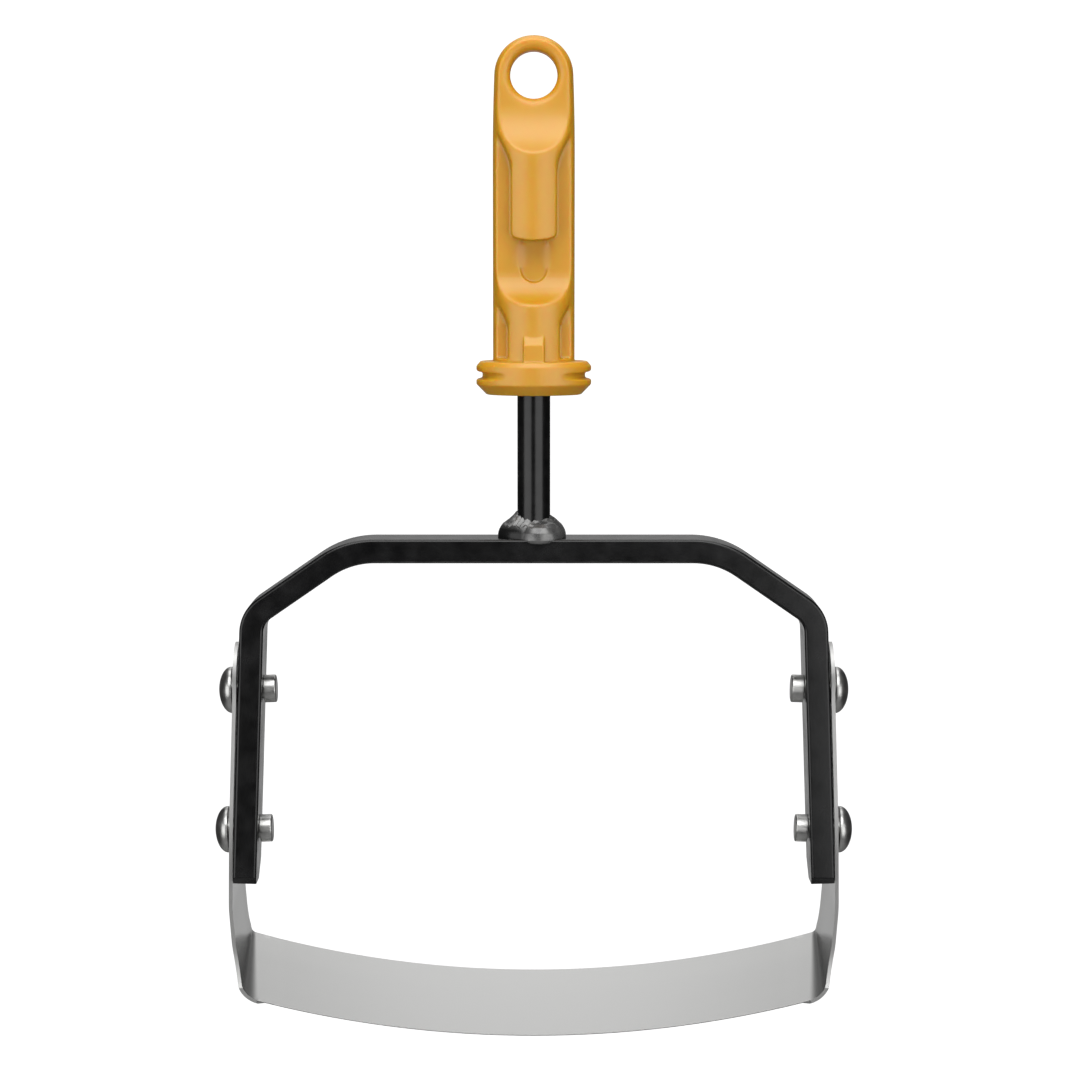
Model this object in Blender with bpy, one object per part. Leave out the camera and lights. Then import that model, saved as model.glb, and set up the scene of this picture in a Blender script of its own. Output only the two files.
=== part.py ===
"""Oscillating hoe: a snap-in head whose stirrup blade swings under a bent bar.

The origin is the centre of the collar's upper face, on the rod's axis. +Z points up
the connector to its hanging loop, +X to the right and -Y to the front. The head is
built as it hangs in the photograph, with the blade swung back against its stop.
"""
import math

import bmesh
import bpy
from mathutils import Matrix, Vector

MM = 0.001

# Fits
GAP = 0.3 * MM  # between fixed pieces that touch
SLIDE = 0.4 * MM  # on each side of the swinging strap

# Moulded connector
POST_R = 12.35 * MM  # round post that slides into the handle's socket
LOOP_R = 11.9 * MM  # outside of the hanging loop
LOOP_Z = 85.6 * MM  # height of the hanging hole
LOOP_HALF = 5.5 * MM  # half the thickness of the loop
NECK_Z = 62.0 * MM  # where the post starts to narrow towards the loop
HOLE_R = 7.1 * MM
HOLE_ROUND = 2.3 * MM  # rounding of the hole's two rims
DISH_TOP_Z = 84.2 * MM  # thumb dish: where its curve leaves the loop's face
DISH_R = 36.0 * MM
WEB_HALF = 5.0 * MM  # half the thickness of the web between the front and back reliefs
TONGUE_HALF = 6.7 * MM
TONGUE_END_Z = 36.4 * MM
TONGUE_END_R = 21.0 * MM  # slight curve of its lower end
TONGUE_CORNER = 1.6 * MM
TONGUE_FLARE_Z = (57.5 * MM, 74.5 * MM)  # where the tongue widens to the full post
SADDLE_TOP_Z = 28.3 * MM  # saddle below the tongue: where its curve leaves the web
SADDLE_R = 12.0 * MM
GROOVE_HALF = 4.0 * MM
GROOVE_FLOOR = 4.3 * MM  # distance of the groove's floor from the middle
GROOVE_END_Z = 23.8 * MM
COLUMN_HALF = 7.6 * MM
COLUMN_FLARE_Z = (10.0 * MM, 23.0 * MM)
POCKET_FLOOR_Z = 1.0 * MM
TAB_HALF = 3.0 * MM
TAB_RISE = 1.15 * MM  # how far the tab stands out from the post's surface
TAB_RAMP_Z = (5.2 * MM, 8.1 * MM)

# Collar of the connector
COLLAR_R = 17.4 * MM
COLLAR_TOP_R = 16.2 * MM
COLLAR_END_R = 14.4 * MM
COLLAR_LENGTH = 10.0 * MM
COLLAR_TOP_CHAMFER = 1.4 * MM
COLLAR_END_CHAMFER = 3.1 * MM
COLLAR_FRONT = 14.95 * MM  # distance of the crowned front and back from the axis
CROWN_R = 20.0 * MM
CROWN_TOP_INSET = 0.8 * MM
CROWN_END_INSET = 2.9 * MM
RING_GROOVE_R = 15.55 * MM
RING_GROOVE_Z = (-5.3 * MM, -3.0 * MM)
RING_GROOVE_LIP = 0.35 * MM

# Shank rod
ROD_R = 5.0 * MM
ROD_INSERT = 23.5 * MM  # length moulded into the connector
ROD_CHAMFER = 0.8 * MM

# Bent bar
BOW_TOP_Z = -53.6 * MM
BAR_THICKNESS = 7.3 * MM
BAR_DEPTH = 16.0 * MM
BAR_EDGE_R = 0.9 * MM
SHOULDER_X = 57.6 * MM  # outer corner between the top run and the slope
LEG_TOP_X = 89.2 * MM  # outer corner between the slope and the leg
LEG_TOP_Z = -75.4 * MM
LEG_END_X = 92.4 * MM
LEG_END_Z = -160.0 * MM
SHOULDER_BEND_R = 30.0 * MM  # outside radii of the bends
LEG_BEND_R = 13.0 * MM
TOE_FRONT = (2.0 * MM, 2.0 * MM)  # corner taken off the leg's end: depth, height
TOE_BACK = (3.6 * MM, 6.0 * MM)

# Weld bead
BEAD_HEIGHT = 7.6 * MM
BEAD_SKIRT = 1.0 * MM  # how far the bead could run down past the bar's top face
BEAD_WIDE = 10.4 * MM
BEAD_DEEP = 8.0 * MM
BEAD_SHIFT = -0.6 * MM
BEAD_WIDEST = 0.78  # share of the height, from the top, where it is widest
BEAD_RIPPLE = 0.16 * MM
DRIP_HALF = 3.4 * MM  # where the bead laps over the bar's front edge
DRIP_X = 2.4 * MM
DRIP_OUT = 1.1 * MM

# Swing of the blade
PIVOT_Z = -100.7 * MM
GUIDE_DROP = 43.5 * MM  # from the pivot rivets down to the guide rivets
SWING = 13.0  # degrees to each side of the middle

# Stirrup blade, measured from the pivot downwards
STRAP_THICKNESS = 1.15 * MM
STRAP_TOP = 14.2 * MM  # height of the strap's round end above the pivot
STRAP_HALF = 8.2 * MM
BLADE_HALF = 21.6 * MM
FLARE_BLEND = 3.0 * MM
KNEE_DROP = 66.0 * MM  # where the strap leaves the line of the leg
KNEE_R = 60.0 * MM
HEEL_X = 92.9 * MM  # outer corner between the strap and the blade
HEEL_R = 8.0 * MM
BLADE_DROP = 108.65 * MM  # lowest line of the blade, in the middle
BLADE_ARC_R = 310.0 * MM
GRIND_START = 49.0 * MM
GRIND_WIDTH = 2.6 * MM
GRIND_EDGE = 0.3 * MM
GRIND_RUN = 2.5 * MM  # length over which the grinding starts
EDGE_BREAK = 0.15 * MM

# Shoulder rivets and swaged collars
HEAD_R = 7.15 * MM
HEAD_HEIGHT = 3.75 * MM
HEAD_RIM = 0.45 * MM
SHOULDER_R = 4.0 * MM
SHOULDER_FIT = 0.3 * MM
SHANK_R = 3.0 * MM
SWAGE_R = 4.25 * MM
SWAGE_LENGTH = 5.0 * MM
SWAGE_CHAMFER = 0.5 * MM

ROUND_STEPS = 72
CROWN_STEPS = 90
RIVET_STEPS = 24


def material(name, colour, roughness, metallic):
    """One Principled material."""
    made = bpy.data.materials.new(name)
    made.use_nodes = True
    shader = made.node_tree.nodes["Principled BSDF"]
    shader.inputs["Base Color"].default_value = (*colour, 1.0)
    shader.inputs["Roughness"].default_value = roughness
    shader.inputs["Metallic"].default_value = metallic
    made.diffuse_color = (*colour, 1.0)
    return made


def new_object(name, bm, finish=None):
    """Turn a bmesh into an object in the scene."""
    bmesh.ops.recalc_face_normals(bm, faces=bm.faces)
    mesh = bpy.data.meshes.new(name)
    bm.to_mesh(mesh)
    bm.free()
    if finish:
        mesh.materials.append(finish)
    made = bpy.data.objects.new(name, mesh)
    bpy.context.collection.objects.link(made)
    return made


def guide(made):
    """Mark an object as a cutter."""
    made.hide_render = True
    made.display_type = "WIRE"
    return made


def prism(name, outline, axis, low, high, finish=None):
    """Extrude a closed outline along X, as (y, z) points, or along Y, as (x, z) points."""
    bm = bmesh.new()
    if axis == "X":
        points = [Vector((low, u, v)) for u, v in outline]
        push = Vector((high - low, 0.0, 0.0))
    else:
        points = [Vector((u, low, v)) for u, v in outline]
        push = Vector((0.0, high - low, 0.0))
    face = bm.faces.new([bm.verts.new(point) for point in points])
    grown = bmesh.ops.extrude_face_region(bm, geom=[face])["geom"]
    moved = [item for item in grown if isinstance(item, bmesh.types.BMVert)]
    bmesh.ops.translate(bm, verts=moved, vec=push)
    return new_object(name, bm, finish)


def revolve(name, profile, steps, finish=None, turn=None):
    """Turn an open profile of (radius, height) points round Z, then place it by a matrix."""
    bm = bmesh.new()
    points = [bm.verts.new((radius, 0.0, height)) for radius, height in profile]
    edges = [bm.edges.new(pair) for pair in zip(points, points[1:])]
    bmesh.ops.spin(bm, geom=points + edges, cent=(0, 0, 0), axis=(0, 0, 1),
                   angle=math.tau, steps=steps, use_merge=True)
    bmesh.ops.remove_doubles(bm, verts=bm.verts, dist=0.001 * MM)
    if turn:
        bmesh.ops.transform(bm, matrix=turn, verts=bm.verts)
    return new_object(name, bm, finish)


def boolean(target, tool, operation):
    """Add a live Boolean with the exact solver."""
    change = target.modifiers.new(tool.name, "BOOLEAN")
    change.operation = operation
    change.object = tool
    guide(tool)


def settle(made, sharp_degrees=40.0):
    """Apply an object's modifiers, take its tools away and shade it smooth."""
    tools = [change.object for change in made.modifiers]
    bpy.context.view_layer.update()
    shaped = made.evaluated_get(bpy.context.evaluated_depsgraph_get())
    made.data = bpy.data.meshes.new_from_object(shaped)
    made.modifiers.clear()
    for tool in tools:
        bpy.data.objects.remove(tool)
    made.data.shade_smooth()
    made.data.set_sharp_from_angle(angle=math.radians(sharp_degrees))
    return made


def arc(centre, radius, start, end, steps):
    """Points of an arc, its angles in degrees from the first axis."""
    angles = [math.radians(start + (end - start) * i / steps) for i in range(steps + 1)]
    return [(centre[0] + radius * math.cos(a), centre[1] + radius * math.sin(a))
            for a in angles]


def ease(share):
    """A smooth step from 0 to 1."""
    return share * share * (3.0 - 2.0 * share)


def both_sides(half):
    """Close an outline from its right half, listed from bottom to top."""
    return half + [(-x, z) for x, z in reversed(half)]


def flared_half(straight_x, foot, flare):
    """Right half of a rib that stands straight, then widens past the post."""
    wide = POST_R + 0.6 * MM
    steps = 10
    rise = [(straight_x + (wide - straight_x) * ease(i / steps),
             flare[0] + (flare[1] - flare[0]) * i / steps) for i in range(steps + 1)]
    return foot + rise + [(wide, flare[1] + 2 * MM)]


def front_and_back(target, name, outline, axis, low, high, spare=None):
    """Cut the same relief into the front and the back, sparing a rib where one is given."""
    for side, facing in (("front", -1.0), ("back", 1.0)):
        if axis == "X":
            placed = [(facing * y, z) for y, z in outline]
            cutter = prism(f"{name}_{side}", placed, "X", low, high)
        else:
            cutter = prism(f"{name}_{side}", outline, "Y", facing * low, facing * high)
        if spare:
            rib = prism(f"{name}_{side}_rib", spare, "Y", 0.0, facing * 2 * POST_R)
            boolean(cutter, rib, "DIFFERENCE")
            settle(cutter)
        boolean(target, cutter, "DIFFERENCE")


def post_profile():
    """The connector's round post: straight, slightly drawn in, then domed."""
    dome_steps = 14
    neck_steps = 5
    profile = [(0.0, -COLLAR_LENGTH / 2), (POST_R, -COLLAR_LENGTH / 2)]
    for i in range(neck_steps):
        share = i / neck_steps
        height = NECK_Z + (LOOP_Z - NECK_Z) * share
        profile.append((POST_R + (LOOP_R - POST_R) * share * share, height))
    profile += arc((0.0, LOOP_Z), LOOP_R, 0.0, 90.0, dome_steps)
    profile[-1] = (0.0, LOOP_Z + LOOP_R)
    return profile


def collar_profile():
    """The grooved collar, from its lower face up."""
    low, high = RING_GROOVE_Z
    return [
        (0.0, -COLLAR_LENGTH),
        (COLLAR_END_R, -COLLAR_LENGTH),
        (COLLAR_R, COLLAR_END_CHAMFER - COLLAR_LENGTH),
        (COLLAR_R, low - RING_GROOVE_LIP),
        (COLLAR_R - RING_GROOVE_LIP, low),
        (RING_GROOVE_R, low + RING_GROOVE_LIP),
        (RING_GROOVE_R, high - RING_GROOVE_LIP),
        (COLLAR_R - RING_GROOVE_LIP, high),
        (COLLAR_R, high + RING_GROOVE_LIP),
        (COLLAR_R, -COLLAR_TOP_CHAMFER),
        (COLLAR_TOP_R, 0.0),
        (0.0, 0.0),
    ]


def make_collar():
    """The collar, cut back to a crowned front and back."""
    made = revolve("collar", collar_profile(), ROUND_STEPS)
    past = 2 * MM
    crown = [
        (CROWN_R - CROWN_TOP_INSET - past, past),
        (CROWN_R - CROWN_TOP_INSET, 0.0),
        (CROWN_R, -COLLAR_TOP_CHAMFER),
        (CROWN_R, COLLAR_END_CHAMFER - COLLAR_LENGTH),
        (CROWN_R - CROWN_END_INSET, -COLLAR_LENGTH),
        (CROWN_R - CROWN_END_INSET - past, -COLLAR_LENGTH - past),
        (2 * CROWN_R, -COLLAR_LENGTH - past),
        (2 * CROWN_R, past),
    ]
    for side, facing in (("front", -1.0), ("back", 1.0)):
        move = Matrix.Translation((0.0, facing * (COLLAR_FRONT - CROWN_R), 0.0))
        cutter = revolve(f"crown_{side}", crown + crown[:1], CROWN_STEPS, turn=move)
        boolean(made, cutter, "DIFFERENCE")
    return settle(made)


def scoop(foot_half, top_z, radius, reach):
    """A concave curve that leaves a face and runs out and down, as (y, z) points."""
    steps = 10
    end = math.degrees(math.acos(1.0 - (reach - foot_half) / radius))
    return [(foot_half + radius * (1.0 - math.cos(math.radians(end * i / steps))),
             top_z - radius * math.sin(math.radians(end * i / steps)))
            for i in range(steps + 1)]


def tongue_foot():
    """Right half of the tongue's lower end: a flat arc that turns into a small corner."""
    end_z = TONGUE_END_Z + TONGUE_END_R
    corner_x = TONGUE_HALF - TONGUE_CORNER
    reach = TONGUE_END_R - TONGUE_CORNER
    turn = -math.degrees(math.acos(corner_x / reach))
    corner = (corner_x, end_z - math.sqrt(reach ** 2 - corner_x ** 2))
    end = arc((0.0, end_z), TONGUE_END_R, -90.0, turn, 4)[1:]
    return end + arc(corner, TONGUE_CORNER, turn, 0.0, 4)[1:]


def make_connector(plastic):
    """The moulded connector: post, loop, reliefs, collar and the bore for the rod."""
    made = revolve("connector", post_profile(), ROUND_STEPS, plastic)
    past = POST_R + 1.5 * MM
    top = LOOP_Z + LOOP_R + 2 * MM

    dish = scoop(LOOP_HALF, DISH_TOP_Z, DISH_R, past)
    front_and_back(made, "dish", [(LOOP_HALF, top)] + dish + [(past, top)], "X", -past, past)

    tongue = both_sides(flared_half(TONGUE_HALF, tongue_foot(), TONGUE_FLARE_Z))
    saddle = scoop(WEB_HALF, SADDLE_TOP_Z, SADDLE_R, past)
    relief = [(WEB_HALF, TONGUE_FLARE_Z[1])] + saddle + [(past, TONGUE_FLARE_Z[1])]
    front_and_back(made, "relief", relief, "X", -past, past, tongue)

    groove = arc((0.0, GROOVE_END_Z + GROOVE_HALF), GROOVE_HALF, 180.0, 360.0, 12)
    under_tongue = TONGUE_END_Z + TONGUE_CORNER
    groove += [(GROOVE_HALF, under_tongue), (-GROOVE_HALF, under_tongue)]
    front_and_back(made, "groove", groove, "Y", GROOVE_FLOOR, past, tongue)

    column_foot = [(COLUMN_HALF, -2 * MM)]
    column = both_sides(flared_half(COLUMN_HALF, column_foot, COLUMN_FLARE_Z))
    pocket = [(WEB_HALF, POCKET_FLOOR_Z), (WEB_HALF, COLUMN_FLARE_Z[1]),
              (past, COLUMN_FLARE_Z[1]), (past, POCKET_FLOOR_Z)]
    front_and_back(made, "pocket", pocket, "X", -past, past, column)

    hole = [(0.0, -past), (HOLE_R + HOLE_ROUND, -past)]
    rim = arc((HOLE_R + HOLE_ROUND, -LOOP_HALF + HOLE_ROUND), HOLE_ROUND, 270.0, 180.0, 6)
    hole += rim + [(radius, -height) for radius, height in reversed(rim)]
    hole += [(HOLE_R + HOLE_ROUND, past), (0.0, past)]
    lay = Matrix.Translation((0, 0, LOOP_Z)) @ Matrix.Rotation(math.radians(90), 4, "X")
    boolean(made, revolve("hanging_hole", hole, 48, turn=lay), "DIFFERENCE")

    tab_y = POST_R + TAB_RISE
    tab = [(WEB_HALF, -2 * COLLAR_TOP_CHAMFER), (tab_y, -2 * COLLAR_TOP_CHAMFER),
           (tab_y, TAB_RAMP_Z[0]), (POST_R - GAP, TAB_RAMP_Z[1]), (WEB_HALF, TAB_RAMP_Z[1])]
    for side, facing in (("front", -1.0), ("back", 1.0)):
        placed = [(facing * y, z) for y, z in tab]
        boolean(made, prism(f"tab_{side}", placed, "X", -TAB_HALF, TAB_HALF), "UNION")

    boolean(made, make_collar(), "UNION")
    bore_top = ROD_INSERT - COLLAR_LENGTH + GAP
    bore = [(0.0, -COLLAR_LENGTH - 2 * MM), (ROD_R + GAP, -COLLAR_LENGTH - 2 * MM),
            (ROD_R + GAP, bore_top), (0.0, bore_top)]
    boolean(made, revolve("rod_bore", bore, 48), "DIFFERENCE")
    return settle(made)


def make_rod(paint):
    """The round shank, from inside the connector down to the bar."""
    top = ROD_INSERT - COLLAR_LENGTH
    foot = BOW_TOP_Z + GAP
    profile = [(0.0, foot), (ROD_R, foot), (ROD_R, top - ROD_CHAMFER),
               (ROD_R - ROD_CHAMFER, top), (0.0, top)]
    return settle(revolve("shank_rod", profile, 48, paint), 30.0)


def leg_outer_x(height):
    """Outer face of the right leg at a height."""
    share = (height - LEG_TOP_Z) / (LEG_END_Z - LEG_TOP_Z)
    return LEG_TOP_X + (LEG_END_X - LEG_TOP_X) * share


def leg_splay():
    """Angle by which the legs spread downwards, in radians."""
    return math.atan2(LEG_END_X - LEG_TOP_X, LEG_TOP_Z - LEG_END_Z)


def rounded_path(corners, radii, degrees_per_step):
    """Round a line's corners. Gives (point, direction) stations in the XZ plane."""
    points = [Vector(corner) for corner in corners]
    stations = [(points[0], (points[1] - points[0]).normalized())]
    for before, corner, after, radius in zip(points, points[1:], points[2:], radii):
        way_in = (corner - before).normalized()
        way_out = (after - corner).normalized()
        turn = math.atan2(way_in.cross(way_out), way_in.dot(way_out))
        reach = radius * math.tan(abs(turn) / 2)
        side = math.copysign(1.0, turn)
        centre = corner - way_in * reach + Vector((-way_in.y, way_in.x)) * radius * side
        steps = max(2, round(abs(math.degrees(turn)) / degrees_per_step))
        for i in range(steps + 1):
            way = way_in.copy()
            way.rotate(Matrix.Rotation(turn * i / steps, 2))
            stations.append((centre - Vector((-way.y, way.x)) * radius * side, way))
    stations.append((points[-1], (points[-1] - points[-2]).normalized()))
    return stations


def sweep(name, stations, section, finish):
    """Carry a section of (across, depth) points along stations in the XZ plane.

    Across is to the left of the direction of travel. The section may be a function
    of the station's number.
    """
    bm = bmesh.new()
    rings = []
    for number, (point, way) in enumerate(stations):
        left = Vector((-way.y, way.x))
        ring = []
        for across, depth in section(number):
            place = point + left * across
            ring.append(bm.verts.new((place.x, depth, place.y)))
        rings.append(ring)
    for ring, following in zip(rings, rings[1:]):
        for i, corner in enumerate(ring):
            beside = (i + 1) % len(ring)
            bm.faces.new((corner, ring[beside], following[beside], following[i]))
    bm.faces.new(rings[0])
    bm.faces.new(rings[-1])
    return new_object(name, bm, finish)


def bar_section():
    """The flat bar's rounded section, inwards from the outer face."""
    half = BAR_DEPTH / 2
    section = []
    for across, depth, start in ((-BAR_EDGE_R, half - BAR_EDGE_R, 0.0),
                                 (BAR_EDGE_R - BAR_THICKNESS, half - BAR_EDGE_R, 90.0),
                                 (BAR_EDGE_R - BAR_THICKNESS, BAR_EDGE_R - half, 180.0),
                                 (-BAR_EDGE_R, BAR_EDGE_R - half, 270.0)):
        section += arc((across, depth), BAR_EDGE_R, start, start + 90.0, 3)
    return section


def make_bow(paint):
    """The bent bar with four rivet holes and tapered toes."""
    corners = [(-LEG_END_X, LEG_END_Z), (-LEG_TOP_X, LEG_TOP_Z), (-SHOULDER_X, BOW_TOP_Z),
               (SHOULDER_X, BOW_TOP_Z), (LEG_TOP_X, LEG_TOP_Z), (LEG_END_X, LEG_END_Z)]
    radii = [LEG_BEND_R, SHOULDER_BEND_R, SHOULDER_BEND_R, LEG_BEND_R]
    stations = rounded_path(corners, radii, 7.0)
    section = bar_section()
    made = sweep("bow", stations, lambda number: section, paint)
    half = BAR_DEPTH / 2
    past = 2 * MM
    for name, facing, (deep, tall) in (("toe_front", -1.0, TOE_FRONT), ("toe_back", 1.0, TOE_BACK)):
        slope = deep / tall
        wedge = [(facing * (half + past * slope), LEG_END_Z + tall + past),
                 (facing * (half - deep - past * slope), LEG_END_Z - past),
                 (facing * (half + past), LEG_END_Z - past),
                 (facing * (half + past), LEG_END_Z + tall + past)]
        boolean(made, prism(name, wedge, "X", -2 * LEG_END_X, 2 * LEG_END_X), "DIFFERENCE")
    for name, side, drop in rivet_places():
        span = BAR_THICKNESS
        hole = [(0.0, -2 * span), (SHANK_R + GAP, -2 * span), (SHANK_R + GAP, span), (0.0, span)]
        boolean(made, revolve(f"{name}_hole", hole, RIVET_STEPS, turn=rivet_frame(side, drop)),
                "DIFFERENCE")
    return settle(made)


def rivet_places():
    """Name, side and distance below the pivot of each rivet."""
    return [(f"{side_name}_{level}", side, drop)
            for side_name, side in (("left", -1.0), ("right", 1.0))
            for level, drop in (("pivot", 0.0), ("guide", GUIDE_DROP))]


def rivet_frame(side, drop):
    """Places a piece turned about Z so that its Z runs outwards, square to the leg's face."""
    height = PIVOT_Z - drop
    outwards = Matrix.Rotation(side * (math.radians(90) - leg_splay()), 4, "Y")
    return Matrix.Translation((side * leg_outer_x(height), 0, height)) @ outwards


def bead_ring(share, steps):
    """One ring of the weld bead, from its rod end (0) to its skirt (1)."""
    reach = math.sin(min(1.0, share / BEAD_WIDEST) * math.pi / 2) ** 1.4
    ring = []
    for i in range(steps):
        angle = math.tau * i / steps
        wide = math.cos(angle)
        deep = math.sin(angle)
        outer = 1.0 / math.hypot(wide / BEAD_WIDE, deep / BEAD_DEEP)
        if deep < 0.0:
            drip = math.exp(-((outer * wide - DRIP_X) / DRIP_HALF) ** 4)
            outer += DRIP_OUT * drip
        inner = ROD_R + GAP + 0.3 * MM
        ripple = math.sin(9 * angle + 7 * share) + math.sin(14 * angle - 9 * share + 1.0)
        radius = inner + (outer - inner) * reach + BEAD_RIPPLE * ripple * math.sin(math.pi * share)
        x = radius * wide + BEAD_SHIFT * reach
        z = BOW_TOP_Z + BEAD_HEIGHT - (BEAD_HEIGHT + BEAD_SKIRT) * share
        ring.append((x, radius * deep, z))
    return ring


def make_weld(steel):
    """The bead round the rod's foot, cut to lie on the bar and lap over its front edge."""
    steps = 40
    levels = 9
    bm = bmesh.new()
    rings = [[bm.verts.new(point) for point in bead_ring(i / levels, steps)]
             for i in range(levels + 1)]
    for ring, following in zip(rings, rings[1:]):
        for i in range(steps):
            beside = (i + 1) % steps
            bm.faces.new((ring[i], ring[beside], following[beside], following[i]))
    bm.faces.new(rings[0])
    bm.faces.new(rings[-1])
    made = new_object("weld_bead", bm, steel)
    half = BAR_DEPTH / 2 + GAP
    edge = BAR_EDGE_R + GAP
    top = BOW_TOP_Z + GAP
    seat = arc((edge - half, top - edge), edge, 180.0, 90.0, 5)
    seat = seat + [(-y, z) for y, z in reversed(seat)]
    seat += [(half, top - BAR_THICKNESS), (-half, top - BAR_THICKNESS)]
    boolean(made, prism("bead_seat", seat, "X", -2 * BEAD_WIDE, 2 * BEAD_WIDE), "DIFFERENCE")
    bore = [(0.0, BOW_TOP_Z - BEAD_HEIGHT), (ROD_R + GAP, BOW_TOP_Z - BEAD_HEIGHT),
            (ROD_R + GAP, BOW_TOP_Z + 2 * BEAD_HEIGHT), (0.0, BOW_TOP_Z + 2 * BEAD_HEIGHT)]
    boolean(made, revolve("bead_bore", bore, 48), "DIFFERENCE")
    return settle(made)


def strap_stations():
    """Stations along the outer face of the blade, from the left end to the right.

    Heights are measured from the pivot, so the blade's own origin lies on its axis.
    """
    stand_off = (SLIDE + STRAP_THICKNESS) / math.cos(leg_splay())

    def side_x(drop):
        return leg_outer_x(PIVOT_Z - drop) + stand_off

    half_angle = math.degrees(math.asin(HEEL_X / BLADE_ARC_R))
    bottom = arc((0.0, BLADE_ARC_R - BLADE_DROP), BLADE_ARC_R,
                 -90.0 - half_angle, -90.0 + half_angle, 16)
    left = [(-side_x(-STRAP_TOP), STRAP_TOP), (-side_x(KNEE_DROP), -KNEE_DROP)]
    right = [(-x, z) for x, z in reversed(left)]
    radii = [KNEE_R, HEEL_R] + [0.0] * (len(bottom) - 2) + [HEEL_R, KNEE_R]
    return rounded_path(left + bottom + right, radii, 9.0)


def strap_half_width(drop):
    """Half the strap's width at a distance below the pivot."""
    end_centre = STRAP_HALF - STRAP_TOP
    if drop < end_centre:
        return math.sqrt(max(STRAP_HALF ** 2 - (end_centre - drop) ** 2, (0.5 * MM) ** 2))
    flared = STRAP_HALF + max(drop, 0.0) * math.tan(math.radians(SWING))
    short = BLADE_HALF - flared
    return BLADE_HALF - (short + math.hypot(short, FLARE_BLEND)) / 2


def even_out(stations, longest):
    """Add stations on straight runs where they lie further apart than a limit."""
    filled = [stations[0]]
    for (start, way), (end, following) in zip(stations, stations[1:]):
        pieces = max(1, math.ceil((end - start).length / longest))
        for i in range(1, pieces):
            filled.append((start.lerp(end, i / pieces), way))
        filled.append((end, following))
    return filled


def make_blade(steel):
    """The stirrup blade: a strap that widens down each side and is ground round the U."""
    stations = strap_stations()
    end_steps = 8
    tip = []
    for i in range(end_steps):
        drop = STRAP_HALF * (1.0 - math.cos(math.radians(90.0 * (i + 1) / end_steps)))
        tip.append(drop)
    first, way = stations[0]
    last, last_way = stations[-1]
    opening = [(first + way * drop, way) for drop in tip]
    closing = [(last - last_way * drop, last_way) for drop in reversed(tip)]
    stations = [stations[0]] + opening + stations[1:-1] + closing + [stations[-1]]
    stations = even_out(stations, 9 * MM)

    def section(number):
        drop = -stations[number][0].y
        half = strap_half_width(drop)
        ground = min(max((drop - GRIND_START) / GRIND_RUN, 0.0), 1.0)
        width = EDGE_BREAK + (GRIND_WIDTH - EDGE_BREAK) * ground
        edge = STRAP_THICKNESS - EDGE_BREAK
        edge += (GRIND_EDGE - edge) * ground
        inner = STRAP_THICKNESS
        width = min(width, half / 2)
        return [(0.0, -half + width), (0.0, half - width), (inner - edge, half),
                (inner, half), (inner, -half), (inner - edge, -half)]

    made = sweep("blade", stations, section, steel)
    reach = 2 * LEG_END_X
    hole_r = SHOULDER_R + SHOULDER_FIT
    across = Matrix.Rotation(math.radians(90), 4, "Y")
    hole = [(0.0, -reach), (hole_r, -reach), (hole_r, reach), (0.0, reach)]
    boolean(made, revolve("pivot_hole", hole, RIVET_STEPS, turn=across), "DIFFERENCE")
    slot = arc((0.0, 0.0), GUIDE_DROP + hole_r, -90.0 - SWING, -90.0 + SWING, 14)
    right_end = (GUIDE_DROP * math.sin(math.radians(SWING)),
                 -GUIDE_DROP * math.cos(math.radians(SWING)))
    slot += arc(right_end, hole_r, SWING - 90.0, SWING + 90.0, 10)[1:-1]
    slot += arc((0.0, 0.0), GUIDE_DROP - hole_r, -90.0 + SWING, -90.0 - SWING, 14)
    left_end = (-right_end[0], right_end[1])
    slot += arc(left_end, hole_r, 90.0 - SWING, 270.0 - SWING, 10)[1:-1]
    boolean(made, prism("guide_slots", slot, "X", -reach, reach), "DIFFERENCE")
    settle(made, 30.0)
    made.location = (0.0, 0.0, PIVOT_Z)
    made.rotation_euler = (math.radians(SWING), 0.0, 0.0)
    return made


def make_rivet(name, side, drop, steel):
    """A shoulder rivet: domed head outside, shoulder through the strap, shank to the collar."""
    under_head = 2 * SLIDE + STRAP_THICKNESS
    shank_end = -(BAR_THICKNESS + SWAGE_LENGTH)
    dome = []
    dome_steps = 6
    for i in range(dome_steps + 1):
        angle = math.radians(90.0 * i / dome_steps)
        dome.append((HEAD_R * math.cos(angle),
                     under_head + HEAD_RIM + (HEAD_HEIGHT - HEAD_RIM) * math.sin(angle)))
    dome[-1] = (0.0, under_head + HEAD_HEIGHT)
    profile = [(0.0, shank_end), (SHANK_R, shank_end), (SHANK_R, GAP), (SHOULDER_R, GAP),
               (SHOULDER_R, under_head), (HEAD_R, under_head)] + dome
    return settle(revolve(f"{name}_rivet", profile, RIVET_STEPS, steel,
                          rivet_frame(side, drop)), 35.0)


def make_swage(name, side, drop, steel):
    """The collar swaged on the rivet's inner end."""
    seat = -(BAR_THICKNESS + GAP)
    end = -(BAR_THICKNESS + SWAGE_LENGTH)
    bore = SHANK_R + GAP
    profile = [(bore, seat), (SWAGE_R, seat), (SWAGE_R, end + SWAGE_CHAMFER),
               (SWAGE_R - SWAGE_CHAMFER, end), (bore, end), (bore, seat)]
    return settle(revolve(f"{name}_collar", profile, RIVET_STEPS, steel,
                          rivet_frame(side, drop)), 35.0)


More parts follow.
